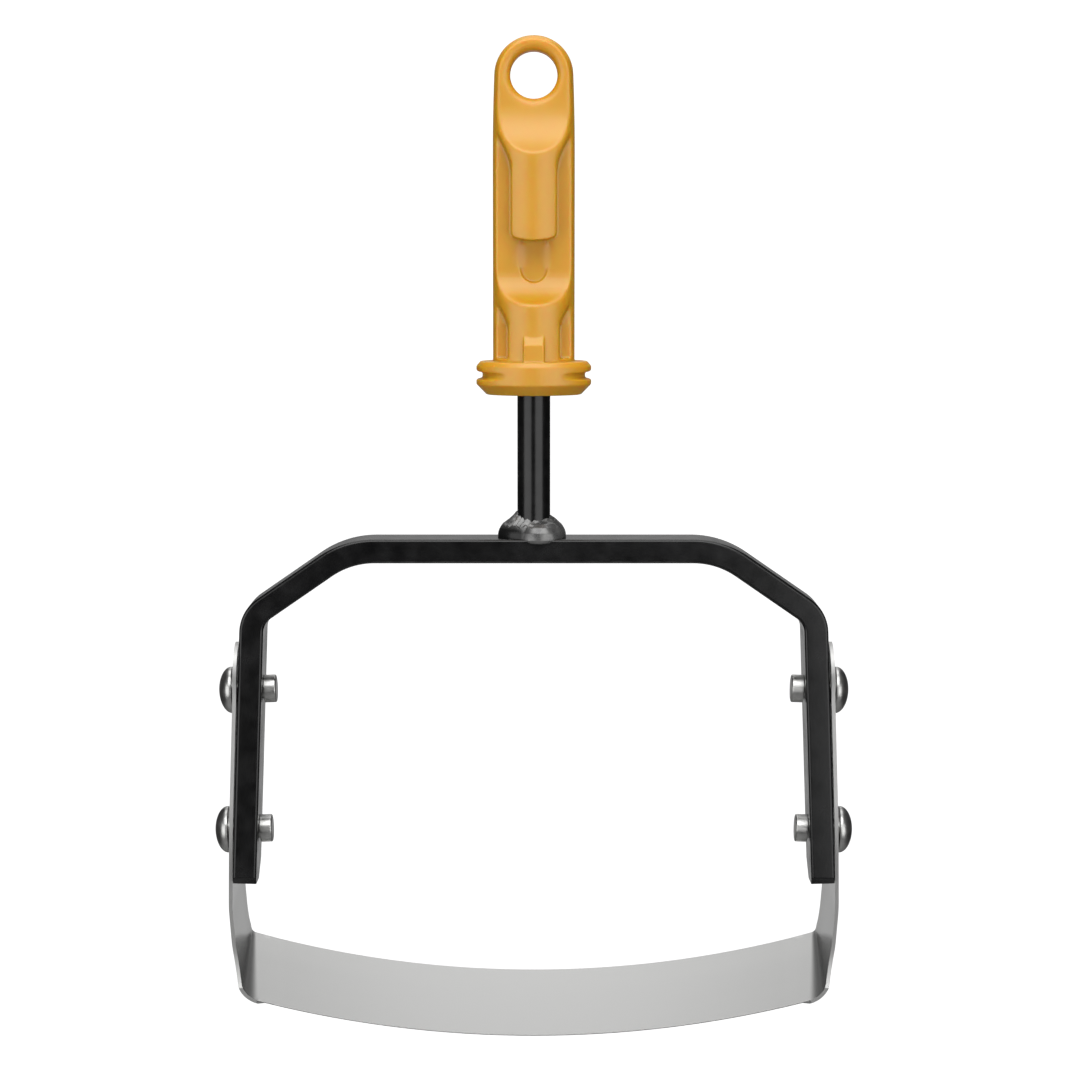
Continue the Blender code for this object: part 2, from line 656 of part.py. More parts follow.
def main():
    for old in list(bpy.data.objects):
        bpy.data.objects.remove(old)
    plastic = material("yellow_plastic", (0.78, 0.36, 0.045), 0.42, 0.0)
    paint = material("black_paint", (0.012, 0.012, 0.013), 0.38, 0.0)
    bead = material("painted_weld", (0.06, 0.06, 0.06), 0.4, 0.3)
    satin = material("satin_steel", (0.55, 0.55, 0.54), 0.38, 1.0)
    bright = material("bright_steel", (0.72, 0.72, 0.70), 0.16, 1.0)
    make_connector(plastic)
    make_rod(paint)
    make_weld(bead)
    make_bow(paint)
    make_blade(satin)
    for name, side, drop in rivet_places():
        make_rivet(name, side, drop, bright)
        make_swage(name, side, drop, bright)


main()
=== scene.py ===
# %% [markdown]
# # The head of an oscillating hoe
#
# The object is the snap-in head of a garden hoe. A yellow moulded connector holds a
# black steel shank, a black bent bar is welded under it, and a thin steel blade
# swings between the bar's two legs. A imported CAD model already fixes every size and
# place. This lesson gives each solid its real surface: the softened edges of a
# moulding, the ripples of a weld, paint, and ground steel.

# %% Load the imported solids
import math

import bmesh
import bpy
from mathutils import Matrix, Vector


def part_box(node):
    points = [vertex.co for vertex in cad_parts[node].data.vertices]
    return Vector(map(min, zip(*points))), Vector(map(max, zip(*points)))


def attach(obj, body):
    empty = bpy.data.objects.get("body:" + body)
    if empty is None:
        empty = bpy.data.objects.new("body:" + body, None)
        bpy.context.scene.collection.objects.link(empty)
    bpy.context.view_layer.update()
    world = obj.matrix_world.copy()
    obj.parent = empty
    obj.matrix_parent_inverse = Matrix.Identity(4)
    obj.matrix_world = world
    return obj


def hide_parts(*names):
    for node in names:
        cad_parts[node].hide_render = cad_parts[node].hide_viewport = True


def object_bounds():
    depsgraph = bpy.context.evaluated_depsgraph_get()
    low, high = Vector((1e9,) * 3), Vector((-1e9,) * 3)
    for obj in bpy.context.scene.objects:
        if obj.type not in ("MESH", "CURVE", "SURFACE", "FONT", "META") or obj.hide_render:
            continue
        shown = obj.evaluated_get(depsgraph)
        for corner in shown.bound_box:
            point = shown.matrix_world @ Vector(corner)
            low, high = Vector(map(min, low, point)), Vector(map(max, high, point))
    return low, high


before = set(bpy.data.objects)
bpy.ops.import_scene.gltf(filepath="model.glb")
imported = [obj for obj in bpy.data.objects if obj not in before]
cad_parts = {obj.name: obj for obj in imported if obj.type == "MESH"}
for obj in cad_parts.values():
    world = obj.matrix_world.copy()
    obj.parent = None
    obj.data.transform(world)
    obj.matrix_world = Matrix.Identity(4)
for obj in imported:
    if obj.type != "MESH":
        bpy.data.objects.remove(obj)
cad_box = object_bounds()
MM = 0.001
extent = (cad_box[1] - cad_box[0]) / MM
print(f"{len(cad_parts)} CAD nodes, {extent.x:.1f} x {extent.y:.1f} x {extent.z:.1f} mm")

# %% [markdown]
# ## The camera
#
# The photograph looks at the head from the front and a little from above, through a
# long lens, so that the two legs look nearly parallel. A camera could be turned to
# face a target with a constraint, but here it stands on a known line: it is aimed at
# one point on the rod's axis, from a known distance and height.

# %% Put the camera in place
CAMERA_DISTANCE = 0.840
CAMERA_RISE = math.radians(6.0)
CAMERA_AIM = Vector((-0.24 * MM, 0.0, -52.4 * MM))
LENS_MM = 93.0  # on a sensor 36 mm wide

back = Vector((0.0, -math.cos(CAMERA_RISE), math.sin(CAMERA_RISE)))
bpy.ops.object.select_all(action="DESELECT")
bpy.ops.object.camera_add(location=CAMERA_AIM + back * CAMERA_DISTANCE,
                          rotation=(math.radians(90.0) - CAMERA_RISE, 0.0, 0.0))
camera = bpy.context.object
camera.data.lens = LENS_MM
camera.data.sensor_width = 36.0
bpy.context.scene.camera = camera
bpy.context.scene.view_settings.view_transform = "Standard"
print("camera at", [round(value, 3) for value in camera.location])

# %% [markdown]
# ## The white sweep
#
# Products are often photographed over a sweep: one sheet of paper that lies as the
# floor and curves up into the backdrop, so that no line shows where they meet. It
# starts as a plane. Its back edge is spun up through a quarter circle and then
# extruded into the wall. A common roll is 2.7 m wide. The head hangs well above the
# floor, as in the photograph, where no shadow shows.

# %% A helper that selects by place
def pick(kind, test, narrow=False):
    """In edit mode, select each vertex, edge or face whose middle passes a test.

    With narrow, only what is selected already can stay selected.
    """
    bpy.ops.mesh.select_mode(type=kind)
    mesh = bpy.context.object.data
    shape = bmesh.from_edit_mesh(mesh)
    items = {"VERT": shape.verts, "EDGE": shape.edges, "FACE": shape.faces}[kind]
    chosen = []
    for item in items:
        corners = [item.co] if kind == "VERT" else [corner.co for corner in item.verts]
        if (item.select or not narrow) and test(sum(corners, Vector()) / len(corners)):
            chosen.append(item)
    bpy.ops.mesh.select_all(action="DESELECT")
    for item in chosen:
        item.select_set(True)
    bmesh.update_edit_mesh(mesh)
    return len(chosen)


# %% Model the sweep
FLOOR_Z = -1.2
SWEEP_WIDE = 2.7
SWEEP_FRONT = -2.0
SWEEP_BACK = 2.0
SWEEP_CURVE = 0.7
WALL_TALL = 3.2

bpy.ops.object.select_all(action="DESELECT")
bpy.ops.mesh.primitive_plane_add(size=1.0, enter_editmode=True)
sweep = bpy.context.object
sweep.name = "sweep"
bpy.ops.transform.resize(value=(SWEEP_WIDE, SWEEP_BACK - SWEEP_FRONT, 1.0))
bpy.ops.transform.translate(value=(0.0, (SWEEP_BACK + SWEEP_FRONT) / 2, FLOOR_Z))
pick("EDGE", lambda middle: middle.y > SWEEP_BACK - 0.01)
bpy.ops.mesh.spin(steps=24, angle=math.radians(-90.0), axis=(1.0, 0.0, 0.0),
                  center=(0.0, SWEEP_BACK, FLOOR_Z + SWEEP_CURVE))
bpy.ops.mesh.extrude_edges_move(TRANSFORM_OT_translate={"value": (0.0, 0.0, WALL_TALL)})
bpy.ops.object.mode_set(mode="OBJECT")
bpy.ops.object.shade_smooth()
print("sweep:", [round(value, 2) for value in sweep.dimensions])

# %% [markdown]
# ## White without more light
#
# A white background could come from stronger lamps, but those would also bleach the
# head. So the paper adds a little light of its own where the camera looks at it, and
# keeps an ordinary surface under that, which still takes the head's shadow. A
# reflection or a view through glass sees that light too, but there it changes with
# the place, as the steel in the photograph shows it: dark on the floor, brighter in
# the curve, dim at the wall's foot, brightest at its top, and fading to both sides.
# The world around the paper is white for the camera as well, and a dark room in
# reflections.

# %% Helpers for shader nodes
def add(tree, kind, inputs=None, **settings):
    """Add a node, set its options, and fill or link its inputs."""
    made = tree.nodes.new(kind)
    for name, value in settings.items():
        setattr(made, name, value)
    for name, value in (inputs or {}).items():
        if isinstance(value, bpy.types.NodeSocket):
            tree.links.new(value, made.inputs[name])
        else:
            made.inputs[name].default_value = value
    return made


def graph(tree, value, points):
    """Look a value up on a line through (place, result) points."""
    lowest, highest = points[0][0], points[-1][0]
    share = add(tree, "ShaderNodeMapRange", {
        "Value": value, "From Min": lowest, "From Max": highest})
    ramp = add(tree, "ShaderNodeValToRGB", {"Fac": share.outputs[0]})
    stops = ramp.color_ramp.elements
    for i, (place, result) in enumerate(points):
        place = (place - lowest) / (highest - lowest)
        stop = stops[i] if i < 2 else stops.new(place)
        stop.position = place
        stop.color = (result, result, result, 1.0)
    return ramp.outputs[0]


# %% Finish the sweep
PAPER = (0.40, 0.40, 0.40, 1.0)
GLOW_BY_HEIGHT = ((-1.18, 0.0), (-0.95, 0.40), (-0.40, 0.40), (0.15, 0.20), (1.70, 0.95),
                  (2.60, 1.0))
GLOW_BY_SIDE = ((0.0, 1.0), (0.25, 0.97), (0.42, 0.80), (0.60, 0.70), (0.85, 0.60),
                (1.10, 0.20), (1.35, 0.06))

paper = bpy.data.materials.new("white_paper")
paper.use_nodes = True
tree = paper.node_tree
tree.nodes.remove(tree.nodes["Principled BSDF"])
surface = add(tree, "ShaderNodeBsdfDiffuse", {"Color": PAPER})
spot = add(tree, "ShaderNodeTexCoord")
spot = add(tree, "ShaderNodeSeparateXYZ", {0: spot.outputs["Object"]})
aside = add(tree, "ShaderNodeMath", operation="ABSOLUTE", inputs={0: spot.outputs["X"]})
graded = add(tree, "ShaderNodeMath", operation="MULTIPLY", inputs={
    0: graph(tree, spot.outputs["Z"], GLOW_BY_HEIGHT),
    1: graph(tree, aside.outputs[0], GLOW_BY_SIDE)})
path = add(tree, "ShaderNodeLightPath")
through = add(tree, "ShaderNodeMath", operation="MAXIMUM", inputs={
    0: path.outputs["Is Glossy Ray"], 1: path.outputs["Is Transmission Ray"]})
mirrored = add(tree, "ShaderNodeMath", operation="MULTIPLY", inputs={
    0: through.outputs[0], 1: graded.outputs[0]})
seen = add(tree, "ShaderNodeMath", operation="MAXIMUM", inputs={
    0: path.outputs["Is Camera Ray"], 1: mirrored.outputs[0]})
glow = add(tree, "ShaderNodeEmission", {"Strength": seen.outputs[0]})
both = add(tree, "ShaderNodeAddShader", {0: surface.outputs[0], 1: glow.outputs[0]})
tree.links.new(both.outputs[0], tree.nodes["Material Output"].inputs["Surface"])
sweep.data.materials.append(paper)
print("paper:", len(tree.nodes), "nodes")

# %% Make the world
AMBIENT = 0.14
ROOM_IN_REFLECTIONS = 0.03

world = bpy.data.worlds.new("studio")
bpy.context.scene.world = world
world.use_nodes = True
tree = world.node_tree
path = add(tree, "ShaderNodeLightPath")
reflected = add(tree, "ShaderNodeMapRange", {
    "Value": path.outputs["Is Glossy Ray"], "To Min": AMBIENT, "To Max": ROOM_IN_REFLECTIONS})
clear = add(tree, "ShaderNodeMath", operation="MAXIMUM", inputs={
    0: path.outputs["Is Camera Ray"], 1: path.outputs["Is Transmission Ray"]})
level = add(tree, "ShaderNodeMath", operation="MAXIMUM", inputs={
    0: reflected.outputs[0], 1: clear.outputs[0]})
tree.links.new(level.outputs[0], tree.nodes["Background"].inputs["Strength"])
tree.nodes["Background"].inputs["Color"].default_value = (1.0, 1.0, 1.0, 1.0)
print("white for the camera, ambient", AMBIENT)

# %% [markdown]
# ## Four soft lamps
#
# The round black rod is a map of the studio: it shows two light bands with a dark
# line between them. So the photographer had a large softbox on each side: the left one
# reached from 18 to 70 degrees from the camera, and the right one from 10 to 63, with
# dark room beyond. The hollows that face upwards shine most, which tells of a third and
# stronger soft light high above the camera. A fourth one, nearly overhead and a little
# behind the head, lights the back. An area lamp's power grows with its area, so each
# lamp is given as a plain brightness.

# %% Hang the softboxes
LAMP_AIM = Vector((0.0, 0.0, -60.0 * MM))
LAMP_DISTANCE = 1.3


def softbox(name, turn, rise, size, brightness):
    """An area lamp aimed at the head, turned to the right and raised, in degrees."""
    turn, rise = math.radians(turn), math.radians(rise)
    out = Vector((math.sin(turn) * math.cos(rise), -math.cos(turn) * math.cos(rise),
                  math.sin(rise)))
    bpy.ops.object.select_all(action="DESELECT")
    bpy.ops.object.light_add(type="AREA", location=LAMP_AIM + out * LAMP_DISTANCE)
    lamp = bpy.context.object
    lamp.name = name
    lamp.rotation_euler = out.to_track_quat("Z", "Y").to_euler()
    lamp.data.shape = "RECTANGLE"
    lamp.data.size, lamp.data.size_y = size
    lamp.data.energy = brightness * math.pi * size[0] * size[1]
    print(f"{name}: {lamp.data.energy:.1f} W")


softbox("left_softbox", -44.3, 0.0, (1.27, 1.0), 1.65)
softbox("right_softbox", 36.6, 0.0, (1.27, 1.0), 1.65)
softbox("top_softbox", 0.0, 54.0, (1.50, 1.05), 2.9)
softbox("back_softbox", 180.0, 74.0, (1.20, 0.80), 2.0)

# %% [markdown]
# ## Two effects that every finish shares
#
# No real surface is one flat colour. The first group gives a **grain**: a fine height
# for a bump and a slow cloudy value for the colour and the gloss. The second gives
# **worn edges and painted light**: a mask along the convex edges, broken up by noise,
# where handling thins paint and polishes plastic, and where it also paints a highlight
# on the black paint and on the weld's ripples. Started above its end, the same mask
# finds the inside corners, where it paints shade: a deeper orange in the plastic, and a
# dark line in the weld. Both are node groups, built once and placed in each material
# with its own sizes.

# %% Helpers for node groups
def new_group(name, inputs, outputs):
    """An empty shader node group with named sockets."""
    made = bpy.data.node_groups.new(name, "ShaderNodeTree")
    for label, kind, value in inputs:
        socket = made.interface.new_socket(label, in_out="INPUT", socket_type=kind)
        if value is not None:
            socket.default_value = value
    for label, kind in outputs:
        made.interface.new_socket(label, in_out="OUTPUT", socket_type=kind)
    made.nodes.new("NodeGroupInput")
    made.nodes.new("NodeGroupOutput")
    return made


def group_ends(group):
    """The group's input and output nodes."""
    return group.nodes["Group Input"].outputs, group.nodes["Group Output"].inputs


# %% Build the grain group
grain = new_group("grain", [
    ("Vector", "NodeSocketVector", None),
    ("Fine Scale", "NodeSocketFloat", 2000.0),
    ("Cloud Scale", "NodeSocketFloat", 60.0),
], [("Height", "NodeSocketFloat"), ("Cloud", "NodeSocketFloat")])
given, result = group_ends(grain)
fine = add(grain, "ShaderNodeTexNoise", {
    "Vector": given["Vector"], "Scale": given["Fine Scale"], "Detail": 3.0, "Roughness": 0.6})
cloud = add(grain, "ShaderNodeTexNoise", {
    "Vector": given["Vector"], "Scale": given["Cloud Scale"], "Detail": 4.0, "Roughness": 0.55})
spread = add(grain, "ShaderNodeMapRange", {
    "Value": cloud.outputs["Fac"], "From Min": 0.3, "From Max": 0.7})
grain.links.new(fine.outputs["Fac"], result["Height"])
grain.links.new(spread.outputs[0], result["Cloud"])

# %% Build the worn-edge group
edge_wear_and_painted_light = new_group("edge_wear_and_painted_light", [
    ("Vector", "NodeSocketVector", None),
    ("Pointiness", "NodeSocketFloat", 0.5),
    ("Starts At", "NodeSocketFloat", 0.52),
    ("Full At", "NodeSocketFloat", 0.58),
    ("Patch Scale", "NodeSocketFloat", 250.0),
], [("Mask", "NodeSocketFloat")])
given, result = group_ends(edge_wear_and_painted_light)
edge = add(edge_wear_and_painted_light, "ShaderNodeMapRange", {
    "Value": given["Pointiness"], "From Min": given["Starts At"], "From Max": given["Full At"]})
patch = add(edge_wear_and_painted_light, "ShaderNodeTexNoise", {
    "Vector": given["Vector"], "Scale": given["Patch Scale"], "Detail": 3.0})
broken = add(edge_wear_and_painted_light, "ShaderNodeMapRange", {
    "Value": patch.outputs["Fac"], "From Min": 0.35, "From Max": 0.65})
mask = add(edge_wear_and_painted_light, "ShaderNodeMath", operation="MULTIPLY", inputs={
    0: edge.outputs[0], 1: broken.outputs[0]})
edge_wear_and_painted_light.links.new(mask.outputs[0], result["Mask"])
print("groups:", grain.name, edge_wear_and_painted_light.name)

# %% A helper that builds a finish from the two groups
def finish(name, colours, roughness, fine_scale, cloud_scale, bump_mm, masks=(),
           stretch=(1.0, 1.0, 1.0), tilt=0.0, **constants):
    """A Principled material: cloudy colour and gloss, fine bump, and coloured edges and
    creases: wear, painted highlights and painted shade.

    Each mask is a colour and the two pointiness values where it starts and is full.
    """
    made = bpy.data.materials.new(name)
    made.use_nodes = True
    tree = made.node_tree
    shader = tree.nodes["Principled BSDF"]
    place = add(tree, "ShaderNodeTexCoord").outputs["Object"]
    place = add(tree, "ShaderNodeMapping", vector_type="TEXTURE", inputs={
        "Vector": place, "Rotation": (tilt, 0.0, 0.0), "Scale": stretch}).outputs[0]
    noise = add(tree, "ShaderNodeGroup", node_tree=grain, inputs={
        "Vector": place, "Fine Scale": fine_scale, "Cloud Scale": cloud_scale})
    colour = add(tree, "ShaderNodeMix", data_type="RGBA", inputs={
        "Factor": noise.outputs["Cloud"], 6: (*colours[0], 1.0),
        7: (*colours[1], 1.0)}).outputs[2]
    for tint, starts_at, full_at in masks:
        shape = add(tree, "ShaderNodeNewGeometry")
        wear_and_painted_light = add(tree, "ShaderNodeGroup", node_tree=edge_wear_and_painted_light, inputs={
            "Vector": place, "Pointiness": shape.outputs["Pointiness"],
            "Starts At": starts_at, "Full At": full_at})
        colour = add(tree, "ShaderNodeMix", data_type="RGBA", inputs={
            "Factor": wear_and_painted_light.outputs["Mask"], 6: colour, 7: (*tint, 1.0)}).outputs[2]
    tree.links.new(colour, shader.inputs["Base Color"])
    gloss = add(tree, "ShaderNodeMapRange", {
        "Value": noise.outputs["Cloud"], "To Min": roughness[0], "To Max": roughness[1]})
    tree.links.new(gloss.outputs[0], shader.inputs["Roughness"])
    bump = add(tree, "ShaderNodeBump", {
        "Height": noise.outputs["Height"], "Distance": bump_mm * MM, "Strength": 1.0})
    tree.links.new(bump.outputs[0], shader.inputs["Normal"])
    for socket, value in constants.items():
        shader.inputs[socket.replace("_", " ")].default_value = value
    return made


# %% [markdown]
# ## The moulded connector
#
# The connector is one injection moulding: a post with a hanging loop, a thumb dish, a
# tongue between two reliefs, a saddle, and a grooved collar that stops against the
# handle. A mould leaves every outside edge a little rounded and every inside corner
# filled. Bevelling each edge by hand would be long work on such a mixed shape. So the
# exact CAD solid is copied, and a drawn punch deepens its two thumb dishes to their
# tight scoop. Then it is rebuilt on a fine grid of voxels and relaxed, which rounds all
# the edges at once. Vertex groups set how much: the post is soft to the hand, the loop,
# the dish and the saddle are softer still, the little groove under the tongue is nearly
# washed out, and the collar, which locks in the handle, is crisp. A collapse at last
# takes nearly half of the faces away.

# %% Helpers that change and copy a piece
def modify(piece, kind, **settings):
    """Add a modifier, set it and apply it."""
    bpy.ops.object.select_all(action="DESELECT")
    piece.select_set(True)
    bpy.context.view_layer.objects.active = piece
    change = piece.modifiers.new(kind.lower(), kind)
    for name, value in settings.items():
        setattr(change, name, value)
    bpy.ops.object.modifier_apply(modifier=change.name)


def copy_of_node(node, name):
    """A merged copy of a CAD node, as an object of its own."""
    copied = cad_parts[node].copy()
    copied.data = copied.data.copy()
    copied.parent = None
    copied.name = name
    for mark in [key for key in copied.keys() if key.startswith("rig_")]:
        del copied[mark]
    bpy.context.collection.objects.link(copied)
    bpy.ops.object.select_all(action="DESELECT")
    copied.select_set(True)
    bpy.context.view_layer.objects.active = copied
    bpy.ops.object.mode_set(mode="EDIT")
    bpy.ops.mesh.select_all(action="SELECT")
    bpy.ops.mesh.remove_doubles(threshold=0.002 * MM)
    bpy.ops.object.mode_set(mode="OBJECT")
    return copied


# %% A helper that hands over a finished piece
def hand_over(piece, node, body, material, smooth_degrees=None):
    """Shade and paint a piece, and let it stand for its CAD node on its body."""
    bpy.ops.object.select_all(action="DESELECT")
    piece.select_set(True)
    bpy.context.view_layer.objects.active = piece
    if smooth_degrees:
        bpy.ops.object.shade_smooth_by_angle(angle=math.radians(smooth_degrees))
        modify(piece, "WEIGHTED_NORMAL", keep_sharp=True)
    else:
        bpy.ops.object.shade_smooth()
    piece.data.materials.clear()
    piece.data.materials.append(material)
    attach(piece, body)
    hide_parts(node)
    extent = piece.dimensions / MM
    print(f"{piece.name}: {len(piece.data.polygons)} faces, "
          f"{extent.x:.1f} x {extent.y:.1f} x {extent.z:.1f} mm")


# %% Helpers that draw and cut
def draw_line(name, points):
    """Shrink a plane to one vertex and extrude it from point to point, in mm."""
    bpy.ops.object.select_all(action="DESELECT")
    bpy.ops.mesh.primitive_plane_add(size=MM, enter_editmode=True)
    piece = bpy.context.object
    piece.name = name
    points = [Vector(point) * MM for point in points]
    bpy.ops.mesh.select_mode(type="VERT")
    bpy.ops.mesh.merge(type="CENTER")
    bpy.ops.transform.translate(value=points[0])
    for here, there in zip(points, points[1:]):
        bpy.ops.mesh.extrude_vertices_move(TRANSFORM_OT_translate={"value": there - here})
    bpy.ops.mesh.select_all(action="SELECT")
    return piece


def cut_away(piece, tool, operation="DIFFERENCE"):
    """Cut one piece with another, and take the tool away."""
    modify(piece, "BOOLEAN", operation=operation, object=tool, solver="EXACT")
    bpy.data.objects.remove(tool)


def die(name, reach, outline):
    """A solid punch through the whole head along X, drawn as (y, z) points."""
    punch = draw_line(name, [(-reach, y, z) for y, z in outline])
    bpy.ops.mesh.edge_face_add()
    bpy.ops.mesh.extrude_region_move(TRANSFORM_OT_translate={"value": (2 * reach * MM, 0, 0)})
    bpy.ops.mesh.select_all(action="SELECT")
    bpy.ops.mesh.normals_make_consistent(inside=False)
    bpy.ops.object.mode_set(mode="OBJECT")
    return punch


# %% Cut the thumb dishes
LOOP_FACE, LOOP_FOOT_Z = 5.52, 84.4  # the loop's half depth, and where it starts
DISH_TOP_Z, DISH_R = 77.7, 20.8
DISH_TURN, DISH_STEP = 56, 4  # degrees
POST_REACH = 14.0  # past the post's sides

moulding = copy_of_node("connector", "moulded_connector")
for facing in (-1.0, 1.0):
    spoon = [(facing * (LOOP_FACE + DISH_R * (1.0 - math.cos(math.radians(turn)))),
              DISH_TOP_Z - DISH_R * math.sin(math.radians(turn)))
             for turn in range(0, DISH_TURN + 1, DISH_STEP)]
    spoon = [(spoon[0][0], LOOP_FOOT_Z)] + spoon + [(spoon[-1][0], LOOP_FOOT_Z)]
    cut_away(moulding, die("thumb_dish", POST_REACH, spoon))
print("dishes cut:", len(moulding.data.polygons), "faces")

# %% Remesh and relax the connector
CONNECTOR_VOXEL = 0.30 * MM
KEPT_FACES = 0.55
RELAX = (("whole", 3, lambda p: True),
         ("post", 4, lambda p: p.z > 1.5 * MM),
         ("loop", 12, lambda p: p.z > 80.0 * MM),
         ("dish", 40, lambda p: p.y < 0.0 and 58.0 * MM < p.z < 81.0 * MM),
         ("saddle", 60, lambda p: p.y < 0.0 and 11.0 * MM < p.z < 22.0 * MM),
         ("groove", 200, lambda p: abs(p.x) < 6.5 * MM and p.y < 0.0
                                   and 28.0 * MM < p.z < 35.4 * MM))

modify(moulding, "REMESH", mode="VOXEL", voxel_size=CONNECTOR_VOXEL)
for zone, times, inside in RELAX:
    bpy.ops.object.mode_set(mode="EDIT")
    found = pick("VERT", inside)
    bpy.ops.object.vertex_group_add()
    bpy.ops.object.vertex_group_assign()
    bpy.ops.object.mode_set(mode="OBJECT")
    group = moulding.vertex_groups[-1]
    group.name = zone
    modify(moulding, "SMOOTH", factor=0.5, iterations=times, vertex_group=zone)
    print(f"{zone}: {found} points relaxed {times} times")
modify(moulding, "DECIMATE", ratio=KEPT_FACES)

# %% [markdown]
# ## Satin yellow plastic
#
# The mould was sand-blasted, so the plastic has a very fine grain and a satin gloss.
# Its colour drifts a little where the melt flowed, and edges that rub against the
# handle turn slightly paler. Light goes a few millimetres into the plastic and comes
# out redder, so its narrow places glow orange: that is subsurface scattering. Its
# inside corners are also painted a deeper orange, which is painted shade.

# %% Finish the connector
yellow = finish("satin_yellow_plastic",
                colours=((0.67, 0.332, 0.007), (0.71, 0.360, 0.010)),
                roughness=(0.36, 0.44), fine_scale=2600.0, cloud_scale=45.0, bump_mm=0.005,
                # The first mask pales the edges where they rub; the second is painted shade, a
                # deeper orange in the inside corners.
                masks=(((0.78, 0.41, 0.03), 0.52, 0.60), ((0.60, 0.20, 0.003), 0.485, 0.44)),
                Specular_IOR_Level=0.78, IOR=1.55, Subsurface_Weight=0.75,
                Subsurface_Radius=(1.0, 0.25, 0.04), Subsurface_Scale=0.004)
hand_over(moulding, "connector", "head", yellow)

# %% [markdown]
# ## Turned pieces
#
# The shank, the rivets and their collars are turned shapes. A cylinder primitive
# could be bevelled, but a lathe is closer to how they are made: one vertex is
# extruded along half of the outline, and the outline is spun round the axis.

# %% A lathe
def arc(centre, radius, start, end, steps):
    """Points on an arc, its angles in degrees."""
    turns = [math.radians(start + (end - start) * i / steps) for i in range(steps + 1)]
    return [(centre[0] + radius * math.cos(a), centre[1] + radius * math.sin(a)) for a in turns]


def turned(name, outline, steps):
    """Draw half an outline of (radius, height) points, then spin it round Z."""
    piece = draw_line(name, [(radius, 0.0, height) for radius, height in outline])
    bpy.ops.mesh.spin(steps=steps, angle=math.tau, center=(0.0, 0.0, 0.0),
                      axis=(0.0, 0.0, 1.0))
    bpy.ops.mesh.select_all(action="SELECT")
    bpy.ops.mesh.remove_doubles(threshold=0.002 * MM)
    bpy.ops.mesh.normals_make_consistent(inside=False)
    bpy.ops.object.mode_set(mode="OBJECT")
    return piece


# %% Turn the shank
ROD_R, ROD_CHAMFER = 5.0, 0.8
low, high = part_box("shank_rod")
top, foot = high.z / MM, low.z / MM
shank = turned("round_shank", [(0.0, foot), (ROD_R, foot), (ROD_R, top - ROD_CHAMFER),
                               (ROD_R - ROD_CHAMFER, top), (0.0, top)], 96)

# %% [markdown]
# ## Two black paints
# The drawn shank is smooth under its stoved paint and shows the lamps almost as a
# mirror would. The rolled bar has the same paint over scale, so its gloss is uneven and
# its black is mottled. A fine orange-peel bump breaks up the reflections on both, and the
# sharp edges are painted a little lighter: thin paint there, and a painted highlight.

# %% Finish the shank
# Its lighter edges are thin paint and a painted highlight.
glossy_black = finish("glossy_black_paint",
                      colours=((0.0012, 0.0012, 0.0013), (0.003, 0.003, 0.0032)),
                      roughness=(0.22, 0.26), fine_scale=900.0, cloud_scale=110.0,
                      bump_mm=0.003, masks=(((0.02, 0.02, 0.02), 0.55, 0.65),))
hand_over(shank, "shank_rod", "head", glossy_black, 35.0)

# %% [markdown]
# ## The bent bar
#
# A flat bar was bent four times into a frame with two spread legs. It is modelled the
# same way: the section of the bar is extruded along the straight runs and spun round
# the centre of each bend. Only the right half is made, and a mirror gives the left.

# %% Helpers that walk a section along straight runs and bends
BAR_CORNER = 0.9


def ring_section(name, place, size):
    """The edges of the bar's section, square to X, with round corners, to start a run."""
    bpy.ops.object.select_all(action="DESELECT")
    bpy.ops.mesh.primitive_plane_add(size=1.0, enter_editmode=True)
    piece = bpy.context.object
    piece.name = name
    bpy.ops.transform.resize(value=(size[1] * MM, size[0] * MM, 1.0))
    bpy.ops.transform.rotate(value=math.radians(90.0), orient_axis="Y",
                             center_override=(0.0, 0.0, 0.0))
    bpy.ops.transform.translate(value=[value * MM for value in place])
    bpy.ops.mesh.bevel(offset=BAR_CORNER * MM, segments=5, affect="VERTICES")
    bpy.ops.mesh.select_all(action="SELECT")
    bpy.ops.mesh.delete(type="ONLY_FACE")
    bpy.ops.mesh.select_all(action="SELECT")
    return piece


def straight(length, heading):
    """Extrude the open end along a heading: degrees below +X."""
    push = Vector((math.cos(math.radians(heading)), 0.0, -math.sin(math.radians(heading))))
    bpy.ops.mesh.extrude_edges_move(TRANSFORM_OT_translate={"value": push * length * MM})


def bend(centre, degrees, steps):
    """Spin the open end downwards round a centre, given as (x, z)."""
    bpy.ops.mesh.spin(steps=steps, angle=math.radians(-degrees), axis=(0.0, 1.0, 0.0),
                      center=(centre[0] * MM, 0.0, centre[1] * MM))


# %% Bend the bar
BAR_TOP_Z = -53.6
BAR_THICK, BAR_DEEP = 7.3, 16.0
SHOULDER = Vector((57.6, BAR_TOP_Z))  # outer corners as (x, z)
HIP = Vector((89.2, -75.4))
TOE = Vector((92.4, -160.0))
SHOULDER_R, HIP_R = 30.0, 13.0


def heading_of(start, end):
    """Degrees below +X of the way from one corner to the next."""
    return math.degrees(math.atan2(start.y - end.y, end.x - start.x))


slope = heading_of(SHOULDER, HIP)
leg = heading_of(HIP, TOE)
shoulder_reach = SHOULDER_R * math.tan(math.radians(slope / 2))
hip_reach = HIP_R * math.tan(math.radians((leg - slope) / 2))
slope_way = (HIP - SHOULDER).normalized()
hip_start = HIP - slope_way * hip_reach
hip_centre = hip_start + Vector((slope_way.y, -slope_way.x)) * HIP_R

